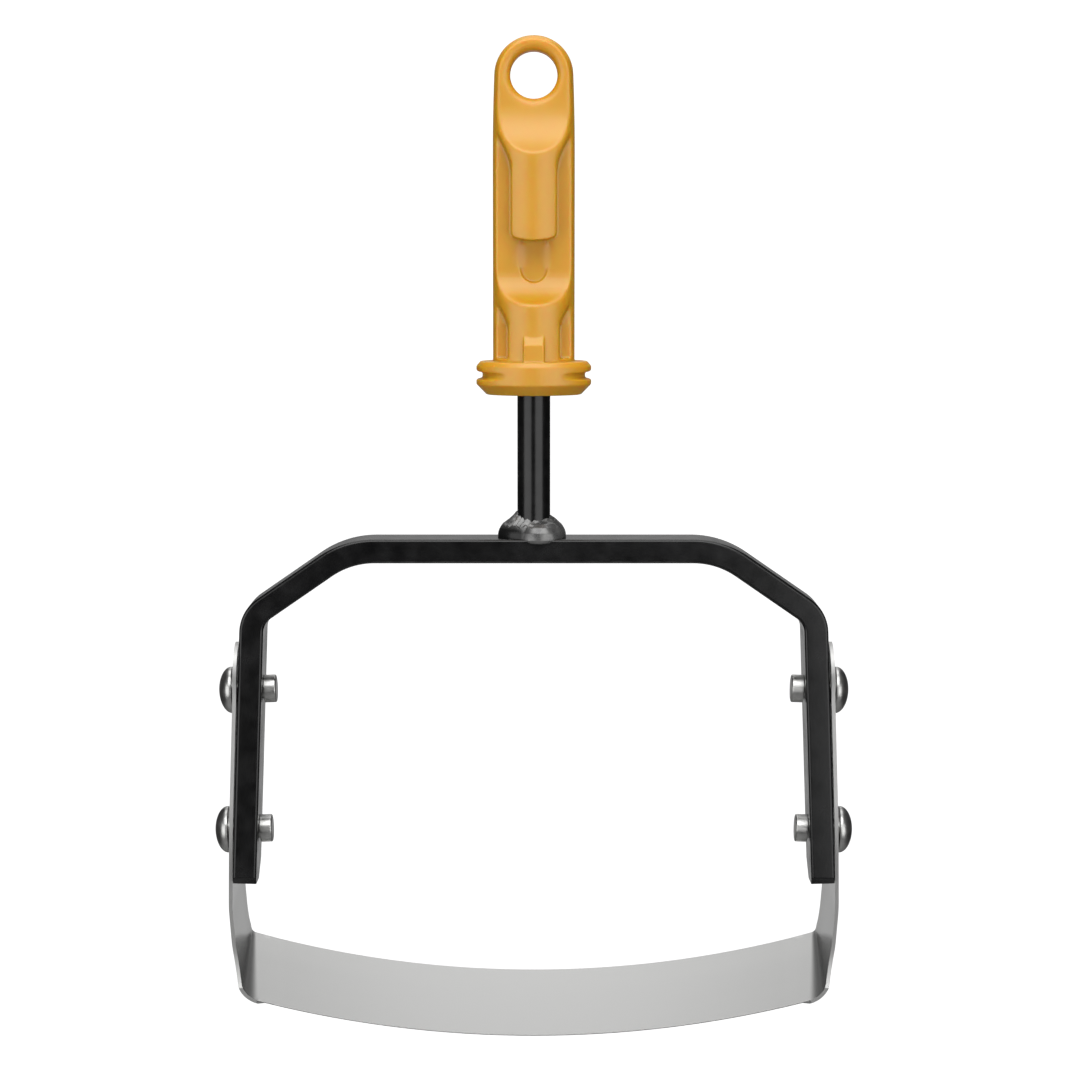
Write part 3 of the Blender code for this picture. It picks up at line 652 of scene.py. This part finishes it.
bar = ring_section("bent_bar", (0.0, 0.0, BAR_TOP_Z - BAR_THICK / 2),
                   (BAR_DEEP, BAR_THICK))
straight(SHOULDER.x - shoulder_reach, 0.0)
bend((SHOULDER.x - shoulder_reach, BAR_TOP_Z - SHOULDER_R), slope, 20)
straight((HIP - SHOULDER).length - shoulder_reach - hip_reach, slope)
bend(hip_centre, leg - slope, 20)
straight((TOE - HIP).length - hip_reach, leg)
bpy.ops.mesh.edge_face_add()
bpy.ops.object.mode_set(mode="OBJECT")
print("bar ends at", [round(max(v.co[i] for v in bar.data.vertices) / MM, 2) for i in range(3)])

# %% Cut the toes, round their edges and mirror the bar
TOE_FRONT = (2.0, 2.0)  # corner taken off the toe: depth and height
TOE_BACK = (3.6, 6.0)

bpy.ops.object.mode_set(mode="EDIT")
for facing, (deep, tall) in ((-1.0, TOE_FRONT), (1.0, TOE_BACK)):
    bpy.ops.mesh.select_all(action="SELECT")
    bpy.ops.mesh.bisect(plane_co=(0.0, facing * BAR_DEEP / 2 * MM, (TOE.y + tall) * MM),
                        plane_no=(0.0, facing * tall, -deep), use_fill=True, clear_outer=True)
bpy.ops.mesh.select_all(action="SELECT")
bpy.ops.mesh.normals_make_consistent(inside=False)
bpy.ops.object.mode_set(mode="OBJECT")
modify(bar, "BEVEL", width=0.35 * MM, segments=3, limit_method="ANGLE",
       angle_limit=math.radians(28.0))
modify(bar, "MIRROR", use_axis=(True, False, False), merge_threshold=0.002 * MM)

# %% Drill and finish the bar
PIVOT_Z = -100.7
GUIDE_DROP = 43.5
DRILL_R, DRILL_IN, DRILL_OUT = 3.1, -12.0, 4.0
splay = math.radians(leg - 90.0)


def leg_x(drop):
    """Outer face of the right leg at a distance below the pivot."""
    return HIP.x + (TOE.x - HIP.x) * (PIVOT_Z - drop - HIP.y) / (TOE.y - HIP.y)


def set_in_leg(piece, side, drop):
    """Turn a piece made along Z square to a leg, and move it to its rivet's place."""
    piece.rotation_euler = (0.0, side * (math.radians(90.0) - splay), 0.0)
    piece.location = (side * leg_x(drop) * MM, 0.0, (PIVOT_Z - drop) * MM)
    bpy.ops.object.select_all(action="DESELECT")
    piece.select_set(True)
    bpy.context.view_layer.objects.active = piece
    bpy.ops.object.transform_apply(location=True, rotation=True, scale=True)


for side in (-1.0, 1.0):
    for drop in (0.0, GUIDE_DROP):
        drill = turned("drill", [(0.0, DRILL_IN), (DRILL_R, DRILL_IN), (DRILL_R, DRILL_OUT),
                                 (0.0, DRILL_OUT)], 48)
        set_in_leg(drill, side, drop)
        cut_away(bar, drill)
# Its lighter edges are thin paint and a painted highlight.
mottled_black = finish("mottled_black_paint",
                       colours=((0.003, 0.003, 0.0032), (0.0075, 0.0075, 0.0078)),
                       roughness=(0.18, 0.28), fine_scale=700.0, cloud_scale=150.0,
                       bump_mm=0.006, masks=(((0.035, 0.035, 0.035), 0.54, 0.62),))
hand_over(bar, "bow", "head", mottled_black, 35.0)

# %% [markdown]
# ## The weld bead
#
# The rod was welded to the bar by hand. A smooth bell of metal lies on the bar, and
# runs over its edge at the front right. Above it, up to the rod, the surface froze in
# fine curved ripples, and a jagged crease divides the two. Bump on a plain cone would
# look painted on, so the bead is built as it was laid: a wide bell and the small one
# of the run are melted into one skin by a voxel remesh, and the upper part is then
# pushed in and out by a saw-toothed ring texture. Deep ripples can fold over each other,
# and a cut fails on such a skin. So it is remeshed once more before it is cut to sit on
# the bar and the rod.

# %% Lay the bead
BEAD_OUTLINE = ((4.9, 8.0), (5.25, 7.2), (6.05, 6.6), (6.8, 6.0), (7.5, 5.4), (8.2, 4.75),
                (8.9, 4.15), (9.4, 3.5), (9.75, 2.9), (10.1, 2.2), (10.3, 1.5), (10.4, 0.8),
                (10.4, 0.0), (10.3, -0.9))
BEAD_SQUASH = 0.80  # depth over width
BEAD_PLACE = (-0.55, 0.75)
RUN_OUTLINE = ((2.2, 5.3), (4.5, 4.6), (5.9, 3.4), (6.75, 1.9), (7.1, 0.4), (7.05, -0.5),
               (6.5, -1.2), (5.2, -1.7))
RUN_SQUASH = 0.85
RUN_PLACE = (1.7, -3.0)
MELT_VOXEL = 0.14 * MM


def laid_metal(name, outline, squash, place):
    """A turned bell on the bar's top, squashed in depth, at (x, y)."""
    piece = turned(name, [(0.0, outline[0][1]), *outline, (0.0, outline[-1][1])], 64)
    bpy.ops.object.mode_set(mode="EDIT")
    bpy.ops.mesh.select_all(action="SELECT")
    bpy.ops.transform.resize(value=(1.0, squash, 1.0), center_override=(0.0, 0.0, 0.0))
    bpy.ops.transform.translate(value=(place[0] * MM, place[1] * MM, BAR_TOP_Z * MM))
    bpy.ops.object.mode_set(mode="OBJECT")
    return piece


body = laid_metal("hand_laid_bead", BEAD_OUTLINE, BEAD_SQUASH, BEAD_PLACE)
run = laid_metal("run", RUN_OUTLINE, RUN_SQUASH, RUN_PLACE)
bpy.ops.object.select_all(action="DESELECT")
run.select_set(True)
body.select_set(True)
bpy.context.view_layer.objects.active = body
bpy.ops.object.join()
modify(body, "REMESH", mode="VOXEL", voxel_size=MELT_VOXEL)
modify(body, "SMOOTH", factor=0.5, iterations=12)

# %% Freeze the ripples
RIPPLE_CENTRE = (3.6, -6.0, BAR_TOP_Z - 1.0)
RIPPLE_APART, RIPPLE_DEEP = 1.35, 0.70
RING_TURNS = 20.0  # the angle that the ring texture goes through in each unit
FROZEN_VOXEL = 0.13 * MM


def above_crease(p):
    """True over the jagged line where the smooth bell ends."""
    x = p.x / MM
    crease = 3.75 + 0.30 * math.sin(1.9 * x) + 0.16 * math.sin(4.7 * x + 1.0)
    crease += 1.9 / (1.0 + math.exp(-1.3 * (x - 1.7)))
    return p.z / MM - BAR_TOP_Z > (crease if p.y < 0.0 else 4.2 + 0.3 * math.sin(2.3 * x))


bpy.ops.object.mode_set(mode="EDIT")
found = pick("VERT", above_crease)
bpy.ops.object.vertex_group_add()
bpy.ops.object.vertex_group_assign()
bpy.ops.object.mode_set(mode="OBJECT")
rings = bpy.data.textures.new("frozen_ripples", "WOOD")
rings.wood_type = "RINGNOISE"
rings.noise_basis_2 = "SAW"
rings.turbulence = 5.0
rings.noise_scale = 0.55
bpy.ops.object.select_all(action="DESELECT")
bpy.ops.object.empty_add(location=[value * MM for value in RIPPLE_CENTRE])
centre = bpy.context.object
centre.scale = [RIPPLE_APART * MM * RING_TURNS / math.tau] * 3
bpy.context.view_layer.update()
modify(body, "DISPLACE", texture=rings, texture_coords="OBJECT", texture_coords_object=centre,
       strength=RIPPLE_DEEP * MM, mid_level=0.9, vertex_group=body.vertex_groups[-1].name)
modify(body, "REMESH", mode="VOXEL", voxel_size=FROZEN_VOXEL)
modify(body, "SMOOTH", factor=0.4, iterations=1)
bpy.data.objects.remove(centre)
print(f"bead: {len(body.data.vertices)} points, {found} of them rippled")

# %% Fit the bead to the bar and the rod
BITE = 0.1  # how far the weld has melted into each
SEAT_HALF = 15.0
BORE_LOW, BORE_HIGH = -60.0, -40.0


def close_end():
    """Fill the open ring that is selected, and the one opposite, and leave edit mode."""
    bpy.ops.mesh.edge_face_add()
    bpy.ops.mesh.select_all(action="SELECT")
    bpy.ops.mesh.fill_holes(sides=0)
    bpy.ops.mesh.normals_make_consistent(inside=False)
    bpy.ops.object.mode_set(mode="OBJECT")


seat = ring_section("bead_seat", (-SEAT_HALF, 0.0, BAR_TOP_Z - BAR_THICK / 2),
                    (BAR_DEEP - 2 * BITE, BAR_THICK - 2 * BITE))
straight(2 * SEAT_HALF, 0.0)
close_end()
cut_away(body, seat)
cut_away(body, turned("bead_bore", [(0.0, BORE_LOW), (ROD_R - BITE, BORE_LOW),
                                    (ROD_R - BITE, BORE_HIGH), (0.0, BORE_HIGH)], 64))
print("fitted bead:", len(body.data.polygons), "faces")

# %% [markdown]
# ## Weld finish
#
# The bead was sprayed with the same paint, but so thinly that the bright metal under
# it shines through. It is a little metallic, and smoother than the bar. Its ripple crests
# are painted lighter, thin paint and a painted highlight, and its creases darker, as
# painted shade. The foot of its left side is painted nearly black, as painted shade.

# %% Finish the bead
PAINTED_SHADE_TO_LEFT = (-1.0, -4.0)  # X where the painted shade starts, and where it is full
PAINTED_SHADE_AT_FOOT = (4.6, 2.6)  # and the same above the bar

# The first mask is thin paint and a painted highlight on the crests, the second painted shade
# in the creases.
weld = finish("painted_weld_metal", colours=((0.11, 0.11, 0.112), (0.23, 0.23, 0.225)),
              roughness=(0.24, 0.34), fine_scale=1500.0, cloud_scale=260.0, bump_mm=0.006,
              masks=(((0.50, 0.50, 0.485), 0.52, 0.60), ((0.012, 0.012, 0.012), 0.50, 0.46)),
              Metallic=0.6)
tree = weld.node_tree
shader = tree.nodes["Principled BSDF"]
# Painted shade: the bead's left foot is darkened nearly to black.
spot = add(tree, "ShaderNodeTexCoord")
spot = add(tree, "ShaderNodeSeparateXYZ", {0: spot.outputs["Object"]})
left = add(tree, "ShaderNodeMapRange", {
    "Value": spot.outputs["X"], "From Min": PAINTED_SHADE_TO_LEFT[0] * MM,
    "From Max": PAINTED_SHADE_TO_LEFT[1] * MM})
low = add(tree, "ShaderNodeMapRange", {
    "Value": spot.outputs["Z"], "From Min": (BAR_TOP_Z + PAINTED_SHADE_AT_FOOT[0]) * MM,
    "From Max": (BAR_TOP_Z + PAINTED_SHADE_AT_FOOT[1]) * MM})
shaded_foot_mask = add(tree, "ShaderNodeMath", operation="MULTIPLY",
           inputs={0: left.outputs[0], 1: low.outputs[0]})
colour = add(tree, "ShaderNodeMix", data_type="RGBA", inputs={
    0: shaded_foot_mask.outputs[0], 6: shader.inputs["Base Color"].links[0].from_socket,
    7: (0.022, 0.022, 0.022, 1.0)})
tree.links.new(colour.outputs[2], shader.inputs["Base Color"])
hand_over(body, "weld_bead", "head", weld)

# %% [markdown]
# ## The stirrup blade
#
# The blade is a strip of spring steel, bent into a stirrup and ground sharp along
# both long edges of its outer face. Its heels are not plain bends: a slight fold
# climbs from the bend's back end to 16 mm above its front end, and leaves a
# three-cornered facet between the two. So two lines are drawn on the inner face, one
# along each edge, with their own bends, and bridged into a sheet. Solidify gives the
# sheet its thickness, and a vertex group makes it thin towards the edges, which is the
# grind. Then the blade is stamped: one drawn outline, seen from the side, cuts the
# straps to their taper, and two more punches make the pivot holes and the slots. All of
# that is done before the edges are rounded, because a cut needs a clean mesh.

# %% Fix the blade's sizes
SWING = 13.0
STRIP_THICK, STRIP_HALF = 1.15, 21.6
STRIP_CLEARANCE = 0.4
ARC_R, ARC_DROP = 310.0, 108.65
HEEL_X = 92.9
FOLD = 6.0  # degrees
BACK_HEEL = (3.2, 3.0, 5.0)  # bend's radius, then the fold's height and radius
FRONT_HEEL = (8.5, 16.5, 50.0)
KNEE_DROP, KNEE_R = 66.0, 60.0
STRAP_TOP, STRAP_HALF = 15.2, 8.2
STRAP_WIDE = 17.2
FLARE_DROPS = (79.0, 91.0)  # where the strap starts to widen, and where it has its full width


def strap_x(drop):
    """Outer face of the right strap at a distance below the pivot."""
    return leg_x(drop) + (STRIP_CLEARANCE + STRIP_THICK) / math.cos(splay)


middle = Vector((0.0, ARC_R - ARC_DROP))
heel = Vector((HEEL_X, middle.y - math.sqrt(ARC_R ** 2 - HEEL_X ** 2)))
knee = Vector((strap_x(KNEE_DROP), -KNEE_DROP))
strap_end = Vector((strap_x(-STRAP_TOP), STRAP_TOP))
up = (knee - heel).normalized()
up_turn = math.degrees(math.atan2(up.y, up.x))
last = (strap_end - knee).normalized()
last_turn = math.degrees(math.atan2(last.y, last.x))
knee_reach = KNEE_R * math.tan(math.radians((last_turn - up_turn) / 2))
print(f"heel at x {heel.x:.1f}, its strap leans {90.0 - up_turn:.2f} degrees outwards")


# %% A helper that draws half of the inner face
def inner_line(heel_r, fold_tall, fold_r):
    """Half of the inner face seen from the front, with its own bend and fold."""
    fold = heel + up * fold_tall
    facet_turn = up_turn - FOLD
    facet = Vector((math.cos(math.radians(facet_turn)), math.sin(math.radians(facet_turn))))
    inwards = Vector((-facet.y, facet.x))
    fold_centre = fold - facet * fold_r * math.tan(math.radians(FOLD / 2)) + inwards * fold_r
    away = fold + inwards * heel_r - middle  # the bend touches the facet and the blade's arc
    along = away.dot(facet)
    along += math.sqrt(along ** 2 - away.length_squared + (ARC_R - heel_r) ** 2)
    heel_centre = middle + away - facet * along
    heel_turn = math.degrees(math.atan2(heel_centre.x, middle.y - heel_centre.y))
    points = []
    knee_centre = knee - up * knee_reach + Vector((-up.y, up.x)) * KNEE_R
    for centre, radius, start, end, steps in (
            (middle, ARC_R, 0.0, heel_turn, 40),
            (heel_centre, heel_r, heel_turn, facet_turn, 18),
            (fold_centre, fold_r, facet_turn, up_turn, 8),
            (knee_centre, KNEE_R, up_turn, last_turn, 6)):
        for x, z in arc((0.0, 0.0), radius - STRIP_THICK, start - 90.0, end - 90.0, steps):
            point = centre + Vector((x, z))
            if not points or (point - points[-1]).length > 0.01:
                points.append(point)
    points.append(strap_end + Vector((-last.y, last.x)) * STRIP_THICK)
    print(f"bend of {facet_turn - heel_turn:.2f} degrees ends at x {heel_centre.x:.2f}, "
          f"{len(points)} points")
    return points


# %% Bridge the two lines and give the strip its thickness
GRIND_WIDE, GRIND_EDGE = 2.6, 0.3
GRIND_TO = 84.0  # from here outwards the edges stay thick

strip = draw_line("stirrup_blade", [(p.x, STRIP_HALF, p.y) for p in inner_line(*BACK_HEEL)])
bpy.ops.object.mode_set(mode="OBJECT")
front = draw_line("front_line", [(p.x, -STRIP_HALF, p.y) for p in inner_line(*FRONT_HEEL)])
bpy.ops.object.mode_set(mode="OBJECT")
bpy.ops.object.select_all(action="DESELECT")
front.select_set(True)
strip.select_set(True)
bpy.context.view_layer.objects.active = strip
bpy.ops.object.join()
bpy.ops.object.mode_set(mode="EDIT")
bpy.ops.mesh.select_all(action="SELECT")
bpy.ops.mesh.bridge_edge_loops()
for side in (-1.0, 1.0):
    bpy.ops.mesh.select_all(action="SELECT")
    bpy.ops.mesh.bisect(plane_co=(0.0, side * (STRIP_HALF - GRIND_WIDE) * MM, 0.0),
                        plane_no=(0.0, 1.0, 0.0))
bpy.ops.mesh.select_all(action="SELECT")
bpy.ops.mesh.normals_make_consistent(inside=False)
if sum(face.normal.z for face in bmesh.from_edit_mesh(strip.data).faces) < 0.0:
    bpy.ops.mesh.flip_normals()
pick("VERT", lambda p: abs(p.y) < (STRIP_HALF - GRIND_WIDE + 0.1) * MM
     or p.x > GRIND_TO * MM)
bpy.ops.object.vertex_group_add()
bpy.ops.object.vertex_group_assign()
bpy.ops.object.mode_set(mode="OBJECT")
modify(strip, "MIRROR", use_axis=(True, False, False), merge_threshold=0.002 * MM)
modify(strip, "SOLIDIFY", thickness=STRIP_THICK * MM, offset=-1.0, use_even_offset=True,
       vertex_group=strip.vertex_groups[0].name,
       thickness_vertex_group=GRIND_EDGE / STRIP_THICK)
print("strip:", [round(value / MM, 1) for value in strip.dimensions])

# %% Stamp the straps
HEAD_REACH = 110.0  # past both straps
EASE_LONG, EASE_SOFT = 8.0, 1.5  # half the length over which the taper ends, and its softness

flare = math.tan(math.radians(SWING))
full_drop = (STRAP_WIDE - STRAP_HALF) / flare
flare_start, flare_end = FLARE_DROPS
flare_turn = 2 * math.degrees(math.atan2(STRIP_HALF - STRAP_WIDE, flare_end - flare_start))
flare_r = (flare_end - flare_start) / math.sin(math.radians(flare_turn))
right_side = [(STRIP_HALF + 1.0, -ARC_DROP - 5.0), (STRIP_HALF + 1.0, -flare_end - 1.1)]
right_side += arc((STRAP_WIDE + flare_r, -flare_start), flare_r, flare_turn - 180.0, -180.0, 10)
for i in range(9):
    drop = full_drop + EASE_LONG - 2 * EASE_LONG * i / 8
    short = STRAP_WIDE - STRAP_HALF - drop * flare
    right_side.append((STRAP_WIDE + 0.02 - (short + math.hypot(short, EASE_SOFT)) / 2, -drop))
right_side.append((STRAP_HALF, 0.0))
right_side += arc((0.0, STRAP_TOP - STRAP_HALF), STRAP_HALF, 0.0, 90.0, 16)
left_side = [(-y, z) for y, z in reversed(right_side[:-1])]
cut_away(strip, die("strap_outline", HEAD_REACH, right_side + left_side), "INTERSECT")
print("straps stamped:", len(strip.data.polygons), "faces")

# %% Punch the pivot holes and the arc slots
HOLE_R = 4.3

cut_away(strip, die("pivot_hole", HEAD_REACH, arc((0.0, 0.0), HOLE_R, 0.0, 352.5, 47)))
slot = arc((0.0, 0.0), GUIDE_DROP + HOLE_R, -90.0 - SWING, -90.0 + SWING, 20)
ends = [(side * GUIDE_DROP * math.sin(math.radians(SWING)),
         -GUIDE_DROP * math.cos(math.radians(SWING))) for side in (1.0, -1.0)]
slot += arc(ends[0], HOLE_R, SWING - 90.0, SWING + 90.0, 16)[1:-1]
slot += arc((0.0, 0.0), GUIDE_DROP - HOLE_R, -90.0 + SWING, -90.0 - SWING, 20)
slot += arc(ends[1], HOLE_R, 90.0 - SWING, 270.0 - SWING, 16)[1:-1]
cut_away(strip, die("arc_slot", HEAD_REACH, slot))
print("holes and slots punched:", len(strip.data.polygons), "faces")

# %% Round the edges of the straps and heels
EDGE_ROUND = 0.45  # at most, because clamp_overlap stops it at the shortest edge
STRAPS_FROM = GRIND_TO + 2.0


def on_outline(p):
    """True on the strap and heel edges, but not round the holes and slots."""
    y, z = p.y / MM, p.z / MM
    stamped = math.hypot(y, z) < 6.0 or abs(y) < 14.5 and -49.0 < z < -36.0
    return abs(p.x) > STRAPS_FROM * MM and not stamped


bpy.ops.object.mode_set(mode="EDIT")
bpy.ops.mesh.select_mode(type="EDGE")
bpy.ops.mesh.select_all(action="DESELECT")
bpy.ops.mesh.edges_select_sharp(sharpness=math.radians(60.0))
found = pick("EDGE", on_outline, narrow=True)
bpy.ops.mesh.bevel(offset=EDGE_ROUND * MM, segments=4, affect="EDGES", clamp_overlap=True)
bpy.ops.object.mode_set(mode="OBJECT")
print(found, "edges rounded")

# %% Mark the sheared faces for the finish
sheared = strip.data.attributes.new("sheared", "FLOAT", "FACE")
marked = 0
for face in strip.data.polygons:
    outside = abs(face.center.x) > STRAPS_FROM * MM
    upper = face.center.z > -KNEE_DROP * MM and abs(face.normal.x) < 0.7
    mark = float(upper or outside and abs(face.normal.y) > 0.7)
    sheared.data[face.index].value = mark
    marked += mark
print(int(marked), "faces marked")

# %% Break the sharp edges, and swing the blade back to its stop
modify(strip, "BEVEL", width=0.12 * MM, segments=2, limit_method="ANGLE",
       angle_limit=math.radians(35.0), use_clamp_overlap=False)
bpy.ops.object.select_all(action="DESELECT")
strip.select_set(True)
bpy.context.view_layer.objects.active = strip
strip.rotation_euler = (math.radians(SWING), 0.0, 0.0)
strip.location = (0.0, 0.0, PIVOT_Z * MM)
bpy.ops.object.transform_apply(location=True, rotation=True, scale=True)

# %% [markdown]
# ## Satin steel
#
# The strip was rolled, so its grain runs along it, and the noise is stretched that
# way. The grain turns with the blade, so the pattern is tilted by the same swing.
# The sheared edges were only tumbled, so they are rougher and look plain grey. A mark
# that was left on their faces says where.

# %% Finish the blade
SHEARED_ROUGHNESS = 0.55

satin = finish("satin_rolled_steel", colours=((0.60, 0.60, 0.593), (0.70, 0.70, 0.69)),
               roughness=(0.20, 0.27), fine_scale=2200.0, cloud_scale=60.0, bump_mm=0.003,
               stretch=(40.0, 1.0, 40.0), tilt=math.radians(SWING), Metallic=1.0)
tree = satin.node_tree
shader = tree.nodes["Principled BSDF"]
edge = add(tree, "ShaderNodeAttribute", attribute_name="sheared")
edge = add(tree, "ShaderNodeMath", operation="MULTIPLY", inputs={
    0: edge.outputs["Fac"], 1: SHEARED_ROUGHNESS})
gloss = add(tree, "ShaderNodeMath", operation="MAXIMUM", inputs={
    0: edge.outputs[0], 1: shader.inputs["Roughness"].links[0].from_socket})
tree.links.new(gloss.outputs[0], shader.inputs["Roughness"])
hand_over(strip, "blade", "blade", satin, 13.0)

# %% [markdown]
# ## Rivets and collars
#
# Four shoulder rivets hold the blade: a domed head outside, a shoulder on which the
# strap turns, and a shank through the bar. A plain collar is swaged on each inner
# end. All four are alike, so one of each is turned and then copied.

# %% Turn one rivet and one collar
HEAD_R, HEAD_TALL, HEAD_RIM = 7.15, 4.35, 0.45
NECK_R, SHANK_R = 4.0, 3.0
COLLAR_R, COLLAR_LONG = 4.25, 4.0

under_head = 2 * STRIP_CLEARANCE + STRIP_THICK
inner_end = -(BAR_THICK + COLLAR_LONG)
dome = [(HEAD_R * x, under_head + HEAD_RIM + (HEAD_TALL - HEAD_RIM) * z)
        for x, z in arc((0.0, 0.0), 1.0, 0.0, 90.0, 20)]
dome[-1] = (0.0, under_head + HEAD_TALL)
rivet = turned("rivet", [
    (0.0, inner_end), (SHANK_R - 0.2, inner_end), (SHANK_R, inner_end + 0.2), (SHANK_R, 0.3),
    (NECK_R, 0.3), (NECK_R, under_head), (HEAD_R - 0.25, under_head),
    (HEAD_R - 0.05, under_head + 0.12)] + dome, 72)
rim = arc((COLLAR_R - 0.5, inner_end + 0.5), 0.5, 0.0, -90.0, 5)
collar = turned("collar", [
    (SHANK_R + 0.15, -BAR_THICK - 0.3), (COLLAR_R - 0.15, -BAR_THICK - 0.3),
    (COLLAR_R, -BAR_THICK - 0.45)] + rim + [
    (SHANK_R + 0.35, inner_end), (SHANK_R + 0.15, inner_end + 0.2),
    (SHANK_R + 0.15, -BAR_THICK - 0.3)], 72)

# %% [markdown]
# ## Bright steel
#
# The rivets and collars are plated and bright, but handling has left them a little
# cloudy and grained. So their gloss changes more over the surface than the blade's, and
# their clouds are smaller.

# %% Finish the rivets and collars
bright = finish("bright_plated_steel", colours=((0.52, 0.52, 0.51), (0.66, 0.66, 0.645)),
                roughness=(0.28, 0.42), fine_scale=1800.0, cloud_scale=320.0, bump_mm=0.006,
                Metallic=1.0)
print("finish:", bright.name)

# %% Place four of each
for side_name, side in (("left", -1.0), ("right", 1.0)):
    for level, drop in (("pivot", 0.0), ("guide", GUIDE_DROP)):
        for master, node in ((rivet, "rivet"), (collar, "collar")):
            bpy.ops.object.select_all(action="DESELECT")
            master.select_set(True)
            bpy.context.view_layer.objects.active = master
            bpy.ops.object.duplicate(linked=False)
            placed = bpy.context.object
            placed.name = f"turned_{side_name}_{level}_{node}"
            set_in_leg(placed, side, drop)
            hand_over(placed, f"{side_name}_{level}_{node}", "head", bright,
                      35.0)
bpy.data.objects.remove(rivet)
bpy.data.objects.remove(collar)
